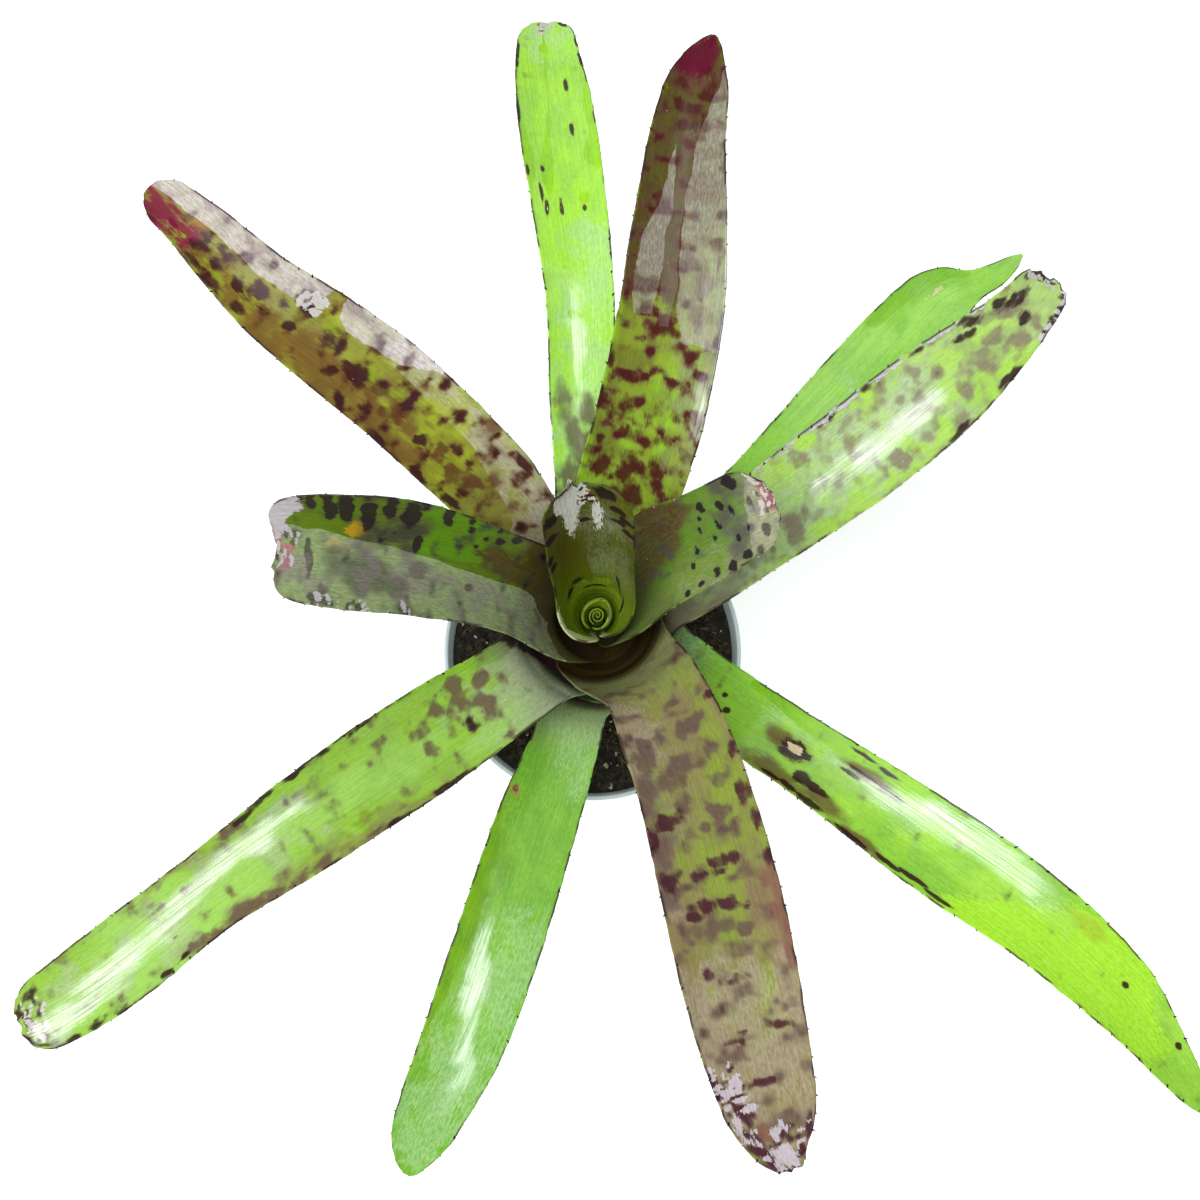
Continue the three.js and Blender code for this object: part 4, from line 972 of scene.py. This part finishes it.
def spine_points(root, out, along, length):
    """Three six-cornered rings and a point, hooked towards the leaf's tip."""
    up = unit(np.cross(out, along))
    broad = unit(np.cross(up, out))
    flatness, bend, hook = 0.42, 1.6, 0.9
    ring_out, ring_along = 1.15, 0.8
    tip_out, tip_along = 1.2, 0.85
    points = []
    for far, fat in SPINE_RINGS:
        lean = far**bend * hook
        middle = root + out * length * far * ring_out + along * length * lean * ring_along
        for k in range(SPINE_SIDES):
            turn = FULL_TURN * k / SPINE_SIDES
            offset = broad * math.cos(turn) * fat + up * math.sin(turn) * fat * flatness
            points.append((middle + offset).tolist())
    tip = root + out * length * tip_out + along * length * tip_along
    return points + [tip.tolist()]


def spine_faces(start):
    rings = len(SPINE_RINGS)
    top = start + (rings - 1) * SPINE_SIDES
    faces = tube_walls(start, rings, SPINE_SIDES)
    for k in range(SPINE_SIDES):
        faces.append((top + k, top + (k + 1) % SPINE_SIDES, top + SPINE_SIDES))
    faces.append(tuple(reversed(range(start, start + SPINE_SIDES))))
    return faces


def add_spines(leaf, seed, vertices, faces, numbers, places):
    """Small hooked cones along both margins of the blade, leaning towards the tip."""
    rng = np.random.default_rng(seed)
    flat = np.zeros((1, 1))
    first_gap, last_gap, sunk = 6, 3, 0.4
    for edge in (-1, 1):
        run = leaf.mouth + first_gap + rng.uniform(0, 4)
        while run < leaf.length - last_gap:
            here = np.array([run])
            half = max(leaf.half_width(here)[0], 1)
            length = SPINE_LENGTH * rng.uniform(0.6, 1.1) * min(1, half / 6)
            root = leaf.surface(here, np.array([[edge * (1 - sunk / half)]]), flat)[0, 0]
            rim = leaf.surface(here, np.array([[edge * 1.0]]), flat)[0, 0]
            along = leaf.sections(here).along[0]
            points = spine_points(root, unit(rim - root), along, length)
            faces.extend(spine_faces(len(vertices)))
            vertices.extend(points)
            for key, values in numbers.items():
                values.extend([{"spine": 1.0, "across": edge}.get(key, 0.0)] * len(points))
            places.extend([[run, edge * half, seed * LEAF_SHIFT]] * len(points))
            run += SPINE_PITCH * rng.uniform(0.75, 1.3)


def add_roll(seed, vertices, faces, numbers, places):
    """The inner turns of the spear's rolled blade, their top edge slanting."""
    turns, steps, rows = 2.3, 84, 8
    first, last, start_turn = 0.35, 3.25, 2.4
    foot, crest, slope, slant = 49.0, 58.4, 3.6, 0.7
    blade_thickness = 0.5
    start = len(vertices)
    rising = [(0, level) for level in np.linspace(0, 1, rows)]
    falling = [(blade_thickness, level) for level in np.linspace(1, 0, rows)]
    for part in np.linspace(0, 1, steps):
        turn = FULL_TURN * turns * part + start_turn
        top = crest - slope * part + slant * math.cos(turn - 1)
        for inset, level in rising + falling:
            far = mix(first, last, part) * mix(0.8, 1, level) - inset * (1 - 0.5 * level)
            height = SOIL_TOP + mix(foot, top, level)
            x, y = STEM + far * np.array([math.cos(turn), math.sin(turn)])
            vertices.append([x, y, height])
            places.append([height, far * turn, seed * LEAF_SHIFT])
            for key, values in numbers.items():
                values.append({"clouds": part, "patch": 0.5}.get(key, 0.0))
    faces.extend(tube(start, steps, 2 * rows))


# Materials

def colour(code):
    """Linear colour of a hexadecimal screen colour."""
    parts = [int(code[i:i + 2], 16) / 255 for i in (1, 3, 5)]
    linear = [c / 12.92 if c <= 0.04045 else ((c + 0.055) / 1.055) ** 2.4 for c in parts]
    return (*linear, 1.0)


class Tree:
    """Short calls that add shader nodes to a material or a world and join them."""

    def __init__(self, owner, shader="Principled BSDF"):
        owner.use_nodes = True
        self.owner = owner
        self.tree = owner.node_tree
        self.shader = self.tree.nodes[shader]

    def join(self, value, socket):
        """Links another node's socket to this one, or sets a plain value on it."""
        if isinstance(value, bpy.types.NodeSocket):
            self.tree.links.new(value, socket)
        else:
            socket.default_value = value

    def node(self, kind, inputs=(), **settings):
        node = self.tree.nodes.new(kind)
        for key, value in settings.items():
            setattr(node, key, value)
        for key, value in dict(inputs).items():
            self.join(value, node.inputs[key])
        return node

    def attribute(self, name, output="Fac"):
        return self.node("ShaderNodeAttribute", attribute_name=name).outputs[output]

    def object_place(self):
        return self.node("ShaderNodeTexCoord").outputs["Object"]

    def math(self, operation, a, b=0.0, clamp=False):
        inputs = {0: a, 1: b}
        node = self.node("ShaderNodeMath", inputs, operation=operation, use_clamp=clamp)
        return node.outputs[0]

    def plus(self, a, b):
        return self.math("ADD", a, b)

    def times(self, a, b):
        return self.math("MULTIPLY", a, b)

    def opposite(self, a):
        return self.math("SUBTRACT", 1.0, a)

    def scaled(self, vector, factors):
        inputs = {0: vector, 1: factors}
        return self.node("ShaderNodeVectorMath", inputs, operation="MULTIPLY").outputs[0]

    def noise(self, vector, scale=1.0, detail=3.0, roughness=0.5):
        inputs = {"Vector": vector, "Scale": scale, "Detail": detail, "Roughness": roughness}
        return self.node("ShaderNodeTexNoise", inputs).outputs[0]

    def step(self, value, low, high, to_low=0.0, to_high=1.0):
        inputs = {"Value": value, "From Min": low, "From Max": high,
                  "To Min": to_low, "To Max": to_high}
        node = self.node("ShaderNodeMapRange", inputs, interpolation_type="SMOOTHSTEP")
        return node.outputs[0]

    def blend(self, factor, a, b, kind="MIX"):
        inputs = {0: factor, 6: a, 7: b}
        node = self.node("ShaderNodeMix", inputs, data_type="RGBA", blend_type=kind)
        return node.outputs[2]

    def set(self, name, value):
        self.join(value, self.shader.inputs[name])

    def bump(self, height, strength, distance):
        inputs = {"Height": height, "Strength": strength, "Distance": distance * MM}
        self.set("Normal", self.node("ShaderNodeBump", inputs).outputs[0])


class Skin(Tree):
    """The shader of one leaf's skin, painted layer over layer from the leaf's masks."""

    def __init__(self, owner, look):
        super().__init__(owner)
        self.look = look
        self.place = self.attribute("place", "Vector")
        self.patch = self.attribute("patch")
        self.sheath = self.attribute("sheath")
        self.veins = self.noise(self.scaled(self.place, (0.03, 1.5, 1)), 1.0, 2, 0.6)
        grain = self.noise(self.scaled(self.place, (0.45, 1.3, 1)), 1.0, 4, 0.7)
        self.grain = self.step(grain, 0.3, 0.7)
        self.wet = self.mask("wet")
        self.dry = self.opposite(self.wet)
        self.scurf = self.times(self.mask("scurf"), self.dry)
        self.pale = self.mask("pale")
        self.powder = self.plus(self.times(self.grain, 0.8), 0.6)
        self.so_far = None

    def mask(self, kind, edge=None):
        """A mark's mask between its own limits or another edge's, broken up by the grain."""
        low, high, fine = EDGES[edge or kind]
        wander = self.times(self.math("SUBTRACT", self.grain, 0.5), fine)
        return self.step(self.plus(self.attribute(kind), wander), low, high)

    def paint(self, factor, share, code):
        self.so_far = self.blend(self.times(factor, share), self.so_far, colour(code))

    def ground(self):
        """Green clouds, washes and specks, then the sheath with its dark arcs."""
        look = self.look
        clouds = self.step(self.attribute("clouds"), 0.2, 0.8)
        self.so_far = self.blend(clouds, *(colour(code) for code in look["green"]))
        self.paint(self.mask("wash"), 0.92, look["wash"])
        tone, amount = look["mottle"]
        specks = self.plus(self.patch, self.times(self.grain, 0.5))
        self.paint(self.step(specks, 0.5, 1.1), amount, tone)
        self.paint(self.mask("lime"), 0.85, look["lime"])
        self.paint(self.attribute("lip"), 0.75, look["lip"])
        self.paint(self.sheath, 0.95, look["base"])
        self.paint(self.times(self.attribute("arcs"), self.sheath), 0.7, look["arcs"])
        self.paint(self.mask("gold"), 0.85, look["gold"])

    def film(self):
        """The pale film of scurf on the dry blade, and of haze, which on some leaves is a painted
        sheen.
        """
        haze_and_sheen = self.times(self.mask("haze_and_sheen"), self.dry)
        film = self.plus(self.times(self.scurf, 0.5), self.times(haze_and_sheen, 0.3))
        film = self.times(self.plus(film, self.look["veil"]), self.powder)
        film = self.times(film, self.opposite(self.sheath))
        self.so_far = self.blend(film, self.so_far, colour(self.look["scurf"]))

    def marks(self):
        """Brown, black and red marks, and the fuller colour of the wet places."""
        look = self.look
        clear = self.opposite(self.times(self.scurf, look["faint"]))
        self.paint(self.times(self.mask("blush"), clear), 0.86, look["blush"])
        self.paint(self.mask("dark", "halo"), 0.45, look["blush"])
        edge = "crisp" if look["crisp"] else "soft"
        self.paint(self.mask("dark", edge), 0.92, look["dark"])
        self.paint(self.mask("red"), 0.88, look["red"])
        vivid = {"Saturation": 1.06, "Value": 0.9, "Color": self.so_far}
        vivid = self.node("ShaderNodeHueSaturation", vivid).outputs[0]
        self.so_far = self.blend(self.wet, self.so_far, vivid)

    def wear(self):
        """Powder and mauve on scurf, dead skin and a painted margin highlight, shade of veins and
        grain.
        """
        self.paint(self.times(self.powder, self.scurf), 0.2, self.look["scurf"])
        self.paint(self.times(self.step(self.patch, 0.55, 0.85), self.scurf), 0.35, MAUVE)
        self.paint(self.pale, 0.88, self.look["pale"])
        lines = self.plus(self.veins, self.times(self.grain, 0.45))
        shade = self.step(lines, 0.35, 1.1, 0.86, 1.12)
        tint = self.node("ShaderNodeCombineColor", {0: shade, 1: shade, 2: shade}).outputs[0]
        self.so_far = self.blend(1.0, self.so_far, tint, "MULTIPLY")

    def details(self):
        """Sparse pale dots, the duller under face, the brown margin and the spines."""
        cells = self.node("ShaderNodeTexVoronoi", {"Vector": self.place, "Scale": 0.5})
        dots = self.step(cells.outputs["Distance"], 0.13, 0.05)
        chance = self.node("ShaderNodeSeparateColor", {0: cells.outputs["Color"]}).outputs[0]
        chance = self.plus(chance, self.times(self.patch, 0.4))
        self.paint(self.times(dots, self.step(chance, 1.22, 1.3)), 0.7, DOT_COLOUR)
        self.paint(self.attribute("under"), 0.45, UNDER_COLOUR)
        rim = self.step(self.math("ABSOLUTE", self.attribute("across")), 0.955, 1.0)
        self.paint(self.times(rim, self.step(self.patch, 0.4, 0.75)), 0.85, RIM_COLOUR)
        self.paint(self.attribute("spine"), 1.0, self.look["spine"])

    def finish(self):
        """Gloss along the veins, matt scurf, and the relief of veins and crust."""
        streaks = self.step(self.veins, 0.36, 0.66, 0.3, 1.0)
        coat = self.times(self.step(self.attribute("shine"), 0.15, 0.85), streaks)
        coat = self.math("MAXIMUM", coat, self.times(self.wet, WET_COAT))
        self.set("Coat Weight", coat)
        self.set("Coat Roughness", COAT_ROUGHNESS)
        self.set("Coat IOR", COAT_IOR)
        gloss = self.step(self.wet, 0.0, 1.0, DRY_ROUGHNESS, WET_ROUGHNESS)
        gloss = self.plus(gloss, self.times(self.grain, 0.08))
        matt = self.plus(self.times(self.scurf, 0.1), self.times(self.pale, 0.25))
        self.set("Roughness", self.math("ADD", gloss, matt, clamp=True))
        self.set("Specular IOR Level", SKIN_SPECULAR)
        crust = self.plus(self.times(self.scurf, 0.3), self.times(self.pale, 0.9))
        crust = self.times(self.grain, self.plus(crust, 0.08))
        self.bump(self.plus(self.veins, crust), 0.5, 0.28)


def leaf_material(name, look):
    skin = Skin(bpy.data.materials.new(name), look)
    skin.ground()
    skin.film()
    skin.marks()
    skin.wear()
    skin.details()
    skin.set("Base Color", skin.so_far)
    skin.finish()
    return skin.owner


def pot_material():
    tree = Tree(bpy.data.materials.new("pot_plastic"))
    place = tree.object_place()
    cloud = tree.noise(place, 26, 4)
    grain = tree.noise(place, 900, 2)
    tree.set("Base Color", tree.blend(cloud, colour("#e4ecf5"), colour("#d6e1ee")))
    tree.set("Roughness", tree.step(grain, 0.3, 0.7, 0.3, 0.42))
    tree.set("Subsurface Weight", 0.15)
    tree.set("Subsurface Radius", (0.006, 0.007, 0.008))
    tree.set("Subsurface Scale", 1.0)
    tree.bump(grain, 0.12, 0.1)
    return tree.owner


def soil_material(name, low, high):
    tree = Tree(bpy.data.materials.new(name))
    place = tree.object_place()
    lumps = tree.noise(place, 320, 6, 0.65)
    grain = tree.noise(place, 1900, 4, 0.7)
    shade = tree.plus(tree.times(lumps, 0.7), tree.times(grain, 0.3))
    tree.set("Base Color", tree.blend(tree.step(shade, 0.36, 0.68), colour(low), colour(high)))
    tree.set("Roughness", 0.9)
    tree.bump(shade, 0.9, 0.8)
    return tree.owner


def stem_material():
    tree = Tree(bpy.data.materials.new("stem_bark"))
    rings = tree.noise(tree.scaled(tree.object_place(), (200, 200, 900)), 1, 5, 0.6)
    tree.set("Base Color", tree.blend(rings, colour("#3c4a14"), colour("#6c7c28")))
    tree.set("Roughness", 0.8)
    tree.bump(rings, 0.7, 0.6)
    return tree.owner


# Pot, soil and stem

def inner_radius(height):
    return mix(BASE_RADIUS - WALL, RIM_RADIUS - RIM_LIP, height / POT_HEIGHT)


def round_profile(profile, radius, steps=4):
    """Rounds each corner of an open profile of [radius, height] points."""
    most_of_a_side = 0.45
    points = [np.array(profile[0], dtype=float)]
    for before, here, after in zip(profile, profile[1:], profile[2:]):
        here = np.array(here, dtype=float)
        back = np.array(before) - here
        ahead = np.array(after) - here
        sides = most_of_a_side * np.linalg.norm(back), most_of_a_side * np.linalg.norm(ahead)
        cut = min(radius, *sides)
        start = here + unit(back) * cut
        end = here + unit(ahead) * cut
        for k in range(steps + 1):
            t = k / steps
            points.append(mix(mix(start, here, t), mix(here, end, t), t))
    points.append(np.array(profile[-1], dtype=float))
    return points


def turned(profile, sides, x=0.0, y=0.0):
    """A profile turned round an upright axis at x and y, closed over both its ends."""
    turns = np.linspace(0, FULL_TURN, sides, endpoint=False)
    points = [
        (radius * math.cos(turn) + x, radius * math.sin(turn) + y, height)
        for radius, height in profile for turn in turns
    ]
    return points, tube(0, len(profile), sides)


def drill(pot, number):
    """Cuts one of the drain holes through the pot's floor."""
    turn = FULL_TURN / DRAIN_HOLES * number
    x, y = DRAIN_CIRCLE * math.cos(turn), DRAIN_CIRCLE * math.sin(turn)
    profile = [[DRAIN_RADIUS, -1], [DRAIN_RADIUS, FLOOR + 1]]
    cutter = new_object(f"cutter_{number}", *turned(profile, DRAIN_SIDES, x, y))
    cut = pot.modifiers.new("drain", "BOOLEAN")
    cut.operation = "DIFFERENCE"
    cut.object = cutter
    bpy.context.view_layer.objects.active = pot
    bpy.ops.object.modifier_apply(modifier="drain")
    bpy.data.objects.remove(cutter)


def pot_object():
    """The pot's wall and collar, and a floor with a shallow recess and a ring of drain holes."""
    collar = POT_HEIGHT - COLLAR_HEIGHT
    under = collar - COLLAR_STEP
    profile = [
        [MIDDLE_RADIUS, RECESS_DEPTH], [RECESS_RADIUS, RECESS_DEPTH], [RECESS_RADIUS + 1, 0],
        [BASE_RADIUS - 0.2, 0], [BASE_RADIUS, 0.4], [inner_radius(under) + WALL, under],
        [RIM_RADIUS - 0.4, collar], [RIM_RADIUS, POT_HEIGHT],
        [inner_radius(POT_HEIGHT), POT_HEIGHT], [inner_radius(FLOOR), FLOOR],
        [MIDDLE_RADIUS, FLOOR],
    ]
    points, faces = turned(round_profile(profile, 0.7), POT_SIDES)
    pot = new_object("pot_body", points, faces, [pot_material()])
    for number in range(DRAIN_HOLES):
        drill(pot, number)
    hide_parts("pot")
    return pot


def crumb(rng, points, faces, centre, size):
    """One lump: an eight-cornered stone with uneven corners."""
    start = len(points)
    turn = rng.uniform(0, FULL_TURN)
    cos, sin = math.cos(turn), math.sin(turn)
    for z in (-1, 1):
        for x, y in ((-1, -1), (1, -1), (1, 1), (-1, 1)):
            px, py, pz = np.array([x, y, z]) * rng.uniform(0.45, 1.0, 3) * size
            corner = np.array([px * cos - py * sin, px * sin + py * cos, pz])
            points.append((corner + centre).tolist())
    for cell in ((3, 2, 1, 0), (4, 5, 6, 7), (0, 1, 5, 4), (1, 2, 6, 5), (2, 3, 7, 6),
                 (3, 0, 4, 7)):
        faces.append(tuple(start + corner for corner in cell))


def soil_height(x, y):
    waves = bumps(x / SOIL_WAVE_LENGTH, y / SOIL_WAVE_LENGTH, 3, 4)
    lumps = bumps(x / SOIL_LUMP_LENGTH, y / SOIL_LUMP_LENGTH, 9, 3)
    far = np.hypot(x, y)
    edge = np.clip((inner_radius(SOIL_TOP) - far) / SOIL_EDGE, 0, 1)
    return SOIL_TOP + edge * (waves * SOIL_WAVE + lumps * SOIL_LUMP)


def soil_object():
    """Peat filling the pot: a rough round top, and plain sides against the pot."""
    low = FLOOR + SOIL_GAP
    outer = inner_radius(SOIL_TOP) - SOIL_GAP
    base_radius = inner_radius(low) - SOIL_GAP
    radii = outer * np.sqrt(np.linspace(SOIL_MIDDLE, 1, SOIL_RINGS))
    turns = np.linspace(0, FULL_TURN, SOIL_SIDES, endpoint=False)
    radius, turn = np.meshgrid(radii[::-1], turns, indexing="ij")
    x, y = radius * np.cos(turn), radius * np.sin(turn)
    top = np.stack([x, y, soil_height(x, y)], -1)
    base = [base_radius * np.cos(turns), base_radius * np.sin(turns), 0 * turns + low]
    points = np.vstack([np.stack(base, -1), top.reshape(-1, 3)])
    faces = tube(0, SOIL_RINGS + 1, SOIL_SIDES)
    soil = new_object("soil_bed", points, faces, [soil_material("peat", "#0f0c08", "#3a3226")])
    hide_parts("soil")
    return soil


def scattered(name, count, sizes, material, seed, lift=0.0):
    """Loose lumps lying on the soil between the pot's wall and the stem."""
    rng = np.random.default_rng(seed)
    corners_each = 8
    points, faces = [], []
    while len(points) < count * corners_each:
        turn = rng.uniform(0, FULL_TURN)
        far = LITTER_RADIUS * math.sqrt(rng.random())
        x, y = far * math.cos(turn), far * math.sin(turn)
        if math.hypot(x - STEM[0], y - STEM[1]) < STEM_CLEARANCE:
            continue
        size = rng.uniform(*sizes)
        z = float(soil_height(x, y)) + size * 0.3 + lift
        shape = np.array([size, size * rng.uniform(0.5, 1), size * rng.uniform(0.35, 0.8)])
        crumb(rng, points, faces, np.array([x, y, z]), shape)
    return new_object(name, points, faces, [material], smooth=False)


def fibre(rng, points, faces):
    """One thin root or husk fibre that wanders over the soil and rises in its middle."""
    sides, steps, stride, thick = 4, 8, 1.3, 0.14
    reach, lift, rise, back_inside = 54, 0.25, 0.7, 0.97
    turn = rng.uniform(0, FULL_TURN)
    far = reach * math.sqrt(rng.uniform(0.1, 1))
    place = np.array([far * math.cos(turn), far * math.sin(turn)])
    heading = rng.uniform(0, FULL_TURN)
    first = len(points)
    for step in range(steps):
        x, y = place
        z = float(soil_height(x, y)) + lift
        z += rise * math.sin(math.pi * step / (steps - 1))
        side = np.array([-math.sin(heading), math.cos(heading), 0])
        for k in range(sides):
            angle = FULL_TURN * k / sides
            offset = side * math.cos(angle) * thick + np.array([0, 0, thick * math.sin(angle)])
            points.append((np.array([x, y, z]) + offset).tolist())
        heading += rng.uniform(-0.45, 0.45)
        move = place + np.array([math.cos(heading), math.sin(heading)]) * stride
        place = move if np.linalg.norm(move) < LITTER_RADIUS else place * back_inside
    faces.extend(tube(first, steps, sides))


def fibres_object(count):
    rng = np.random.default_rng(5)
    points, faces = [], []
    for _ in range(count):
        fibre(rng, points, faces)
    return new_object("soil_fibres", points, faces, [soil_material("fibre", "#4a3826", "#a08a66")])


def stem_object():
    """The short stem with a ring under the foot of every sheath."""
    outer = max(row["rank"] for row in LEAVES.values())

    def radius(rank):
        return attach_radius(rank) - mix(1.4, 1.8, rank / outer)

    foot = SOIL_TOP - STEM_DEPTH
    profile = [[0.4, foot], [radius(outer) * 0.6, foot], [radius(outer), foot + STEM_DEPTH / 2],
               [radius(outer), SOIL_TOP + attach_height(outer)]]
    for rank in reversed(range(outer)):
        height = SOIL_TOP + attach_height(rank)
        profile.append([radius(rank + 0.45) - 0.25, height - ATTACH_STEP * 0.45])
        profile.append([radius(rank), height])
    profile.append([0.4, SOIL_TOP + attach_height(0) + 0.8])
    points, faces = turned(round_profile(profile, 0.5, 2), STEM_SIDES, *STEM)
    stem = new_object("stem_core", points, faces, [stem_material()])
    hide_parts("stem")
    return stem


# Floor, lights and camera

def floor_object():
    mesh = bpy.data.meshes.new("floor")
    corners = [(-1, -1), (1, -1), (1, 1), (-1, 1)]
    points = [(x * FLOOR_REACH, y * FLOOR_REACH, 0) for x, y in corners]
    mesh.from_pydata(points, [], [(0, 1, 2, 3)])
    tree = Tree(bpy.data.materials.new("floor_paper"))
    tree.set("Base Color", (0.95, 0.95, 0.95, 1))
    tree.set("Emission Color", (1, 1, 1, 1))
    tree.set("Emission Strength", 0.5)
    tree.set("Roughness", 0.9)
    mesh.materials.append(tree.owner)
    floor = bpy.data.objects.new("floor", mesh)
    bpy.context.collection.objects.link(floor)


def area_light(name, place, size, turn, power):
    """A soft lamp that faces the pot, its long side turned by some degrees from +X."""
    data = bpy.data.lights.new(name, "AREA")
    data.shape = "RECTANGLE"
    data.size, data.size_y = size
    data.energy = power
    data.color = LAMP_COLOUR
    lamp = bpy.data.objects.new(name, data)
    lamp.location = place
    away = np.array(place) - np.array(LAMP_AIM)
    lean = math.atan2(math.hypot(away[0], away[1]), away[2])
    heading = math.atan2(away[0], -away[1])
    face = Euler((lean, 0, heading)).to_matrix()
    spin = Euler((0, 0, math.radians(turn) - heading)).to_matrix()
    lamp.rotation_euler = (face @ spin).to_euler()
    bpy.context.collection.objects.link(lamp)


def sky():
    """A pale ring low down that fades to a dark zenith."""
    tree = Tree(bpy.data.worlds.new("room"), "Background")
    direction = tree.node("ShaderNodeTexCoord").outputs["Generated"]
    upward = tree.node("ShaderNodeSeparateXYZ", {0: direction}).outputs[2]
    fade = {"Value": upward, "From Min": RING_TOP - RING_FADE, "From Max": RING_TOP + RING_FADE,
            "To Min": RING_STRENGTH, "To Max": ZENITH_STRENGTH}
    tree.set("Color", SKY_COLOUR)
    tree.set("Strength", tree.node("ShaderNodeMapRange", fade).outputs[0])
    bpy.context.scene.world = tree.owner


def lights():
    """A wide lamp overhead and a long one at the left, whose glints run along the leaves."""
    for number, lamp in enumerate(LAMPS):
        place = (*lamp["at"], LAMP_HEIGHT)
        area_light(f"lamp_{number}", place, lamp["size"], lamp["turn"], lamp["power"])
    sky()


def camera():
    data = bpy.data.cameras.new("camera")
    data.sensor_width = CAMERA_SENSOR
    data.lens = CAMERA_LENS
    eye = bpy.data.objects.new("camera", data)
    eye.location = CAMERA_PLACE
    eye.rotation_euler = (math.radians(CAMERA_TILT), 0, 0)
    bpy.context.collection.objects.link(eye)
    bpy.context.scene.camera = eye


camera()
lights()
floor_object()
pot_object()
soil_object()
scattered("soil_crumbs", 2600, (0.5, 1.7), soil_material("crumbs", "#0c0907", "#4a4032"), 1)
scattered("soil_grains", 260, (0.4, 1.1), soil_material("grains", "#8f8a78", "#e0dccb"), 2, 0.3)
fibres_object(170)
stem_object()
for number, leaf_name in enumerate(LEAVES):
    leaf_object(leaf_name, number + 1)

view = bpy.context.scene.view_settings
view.view_transform = "Standard"
view.look = "None"
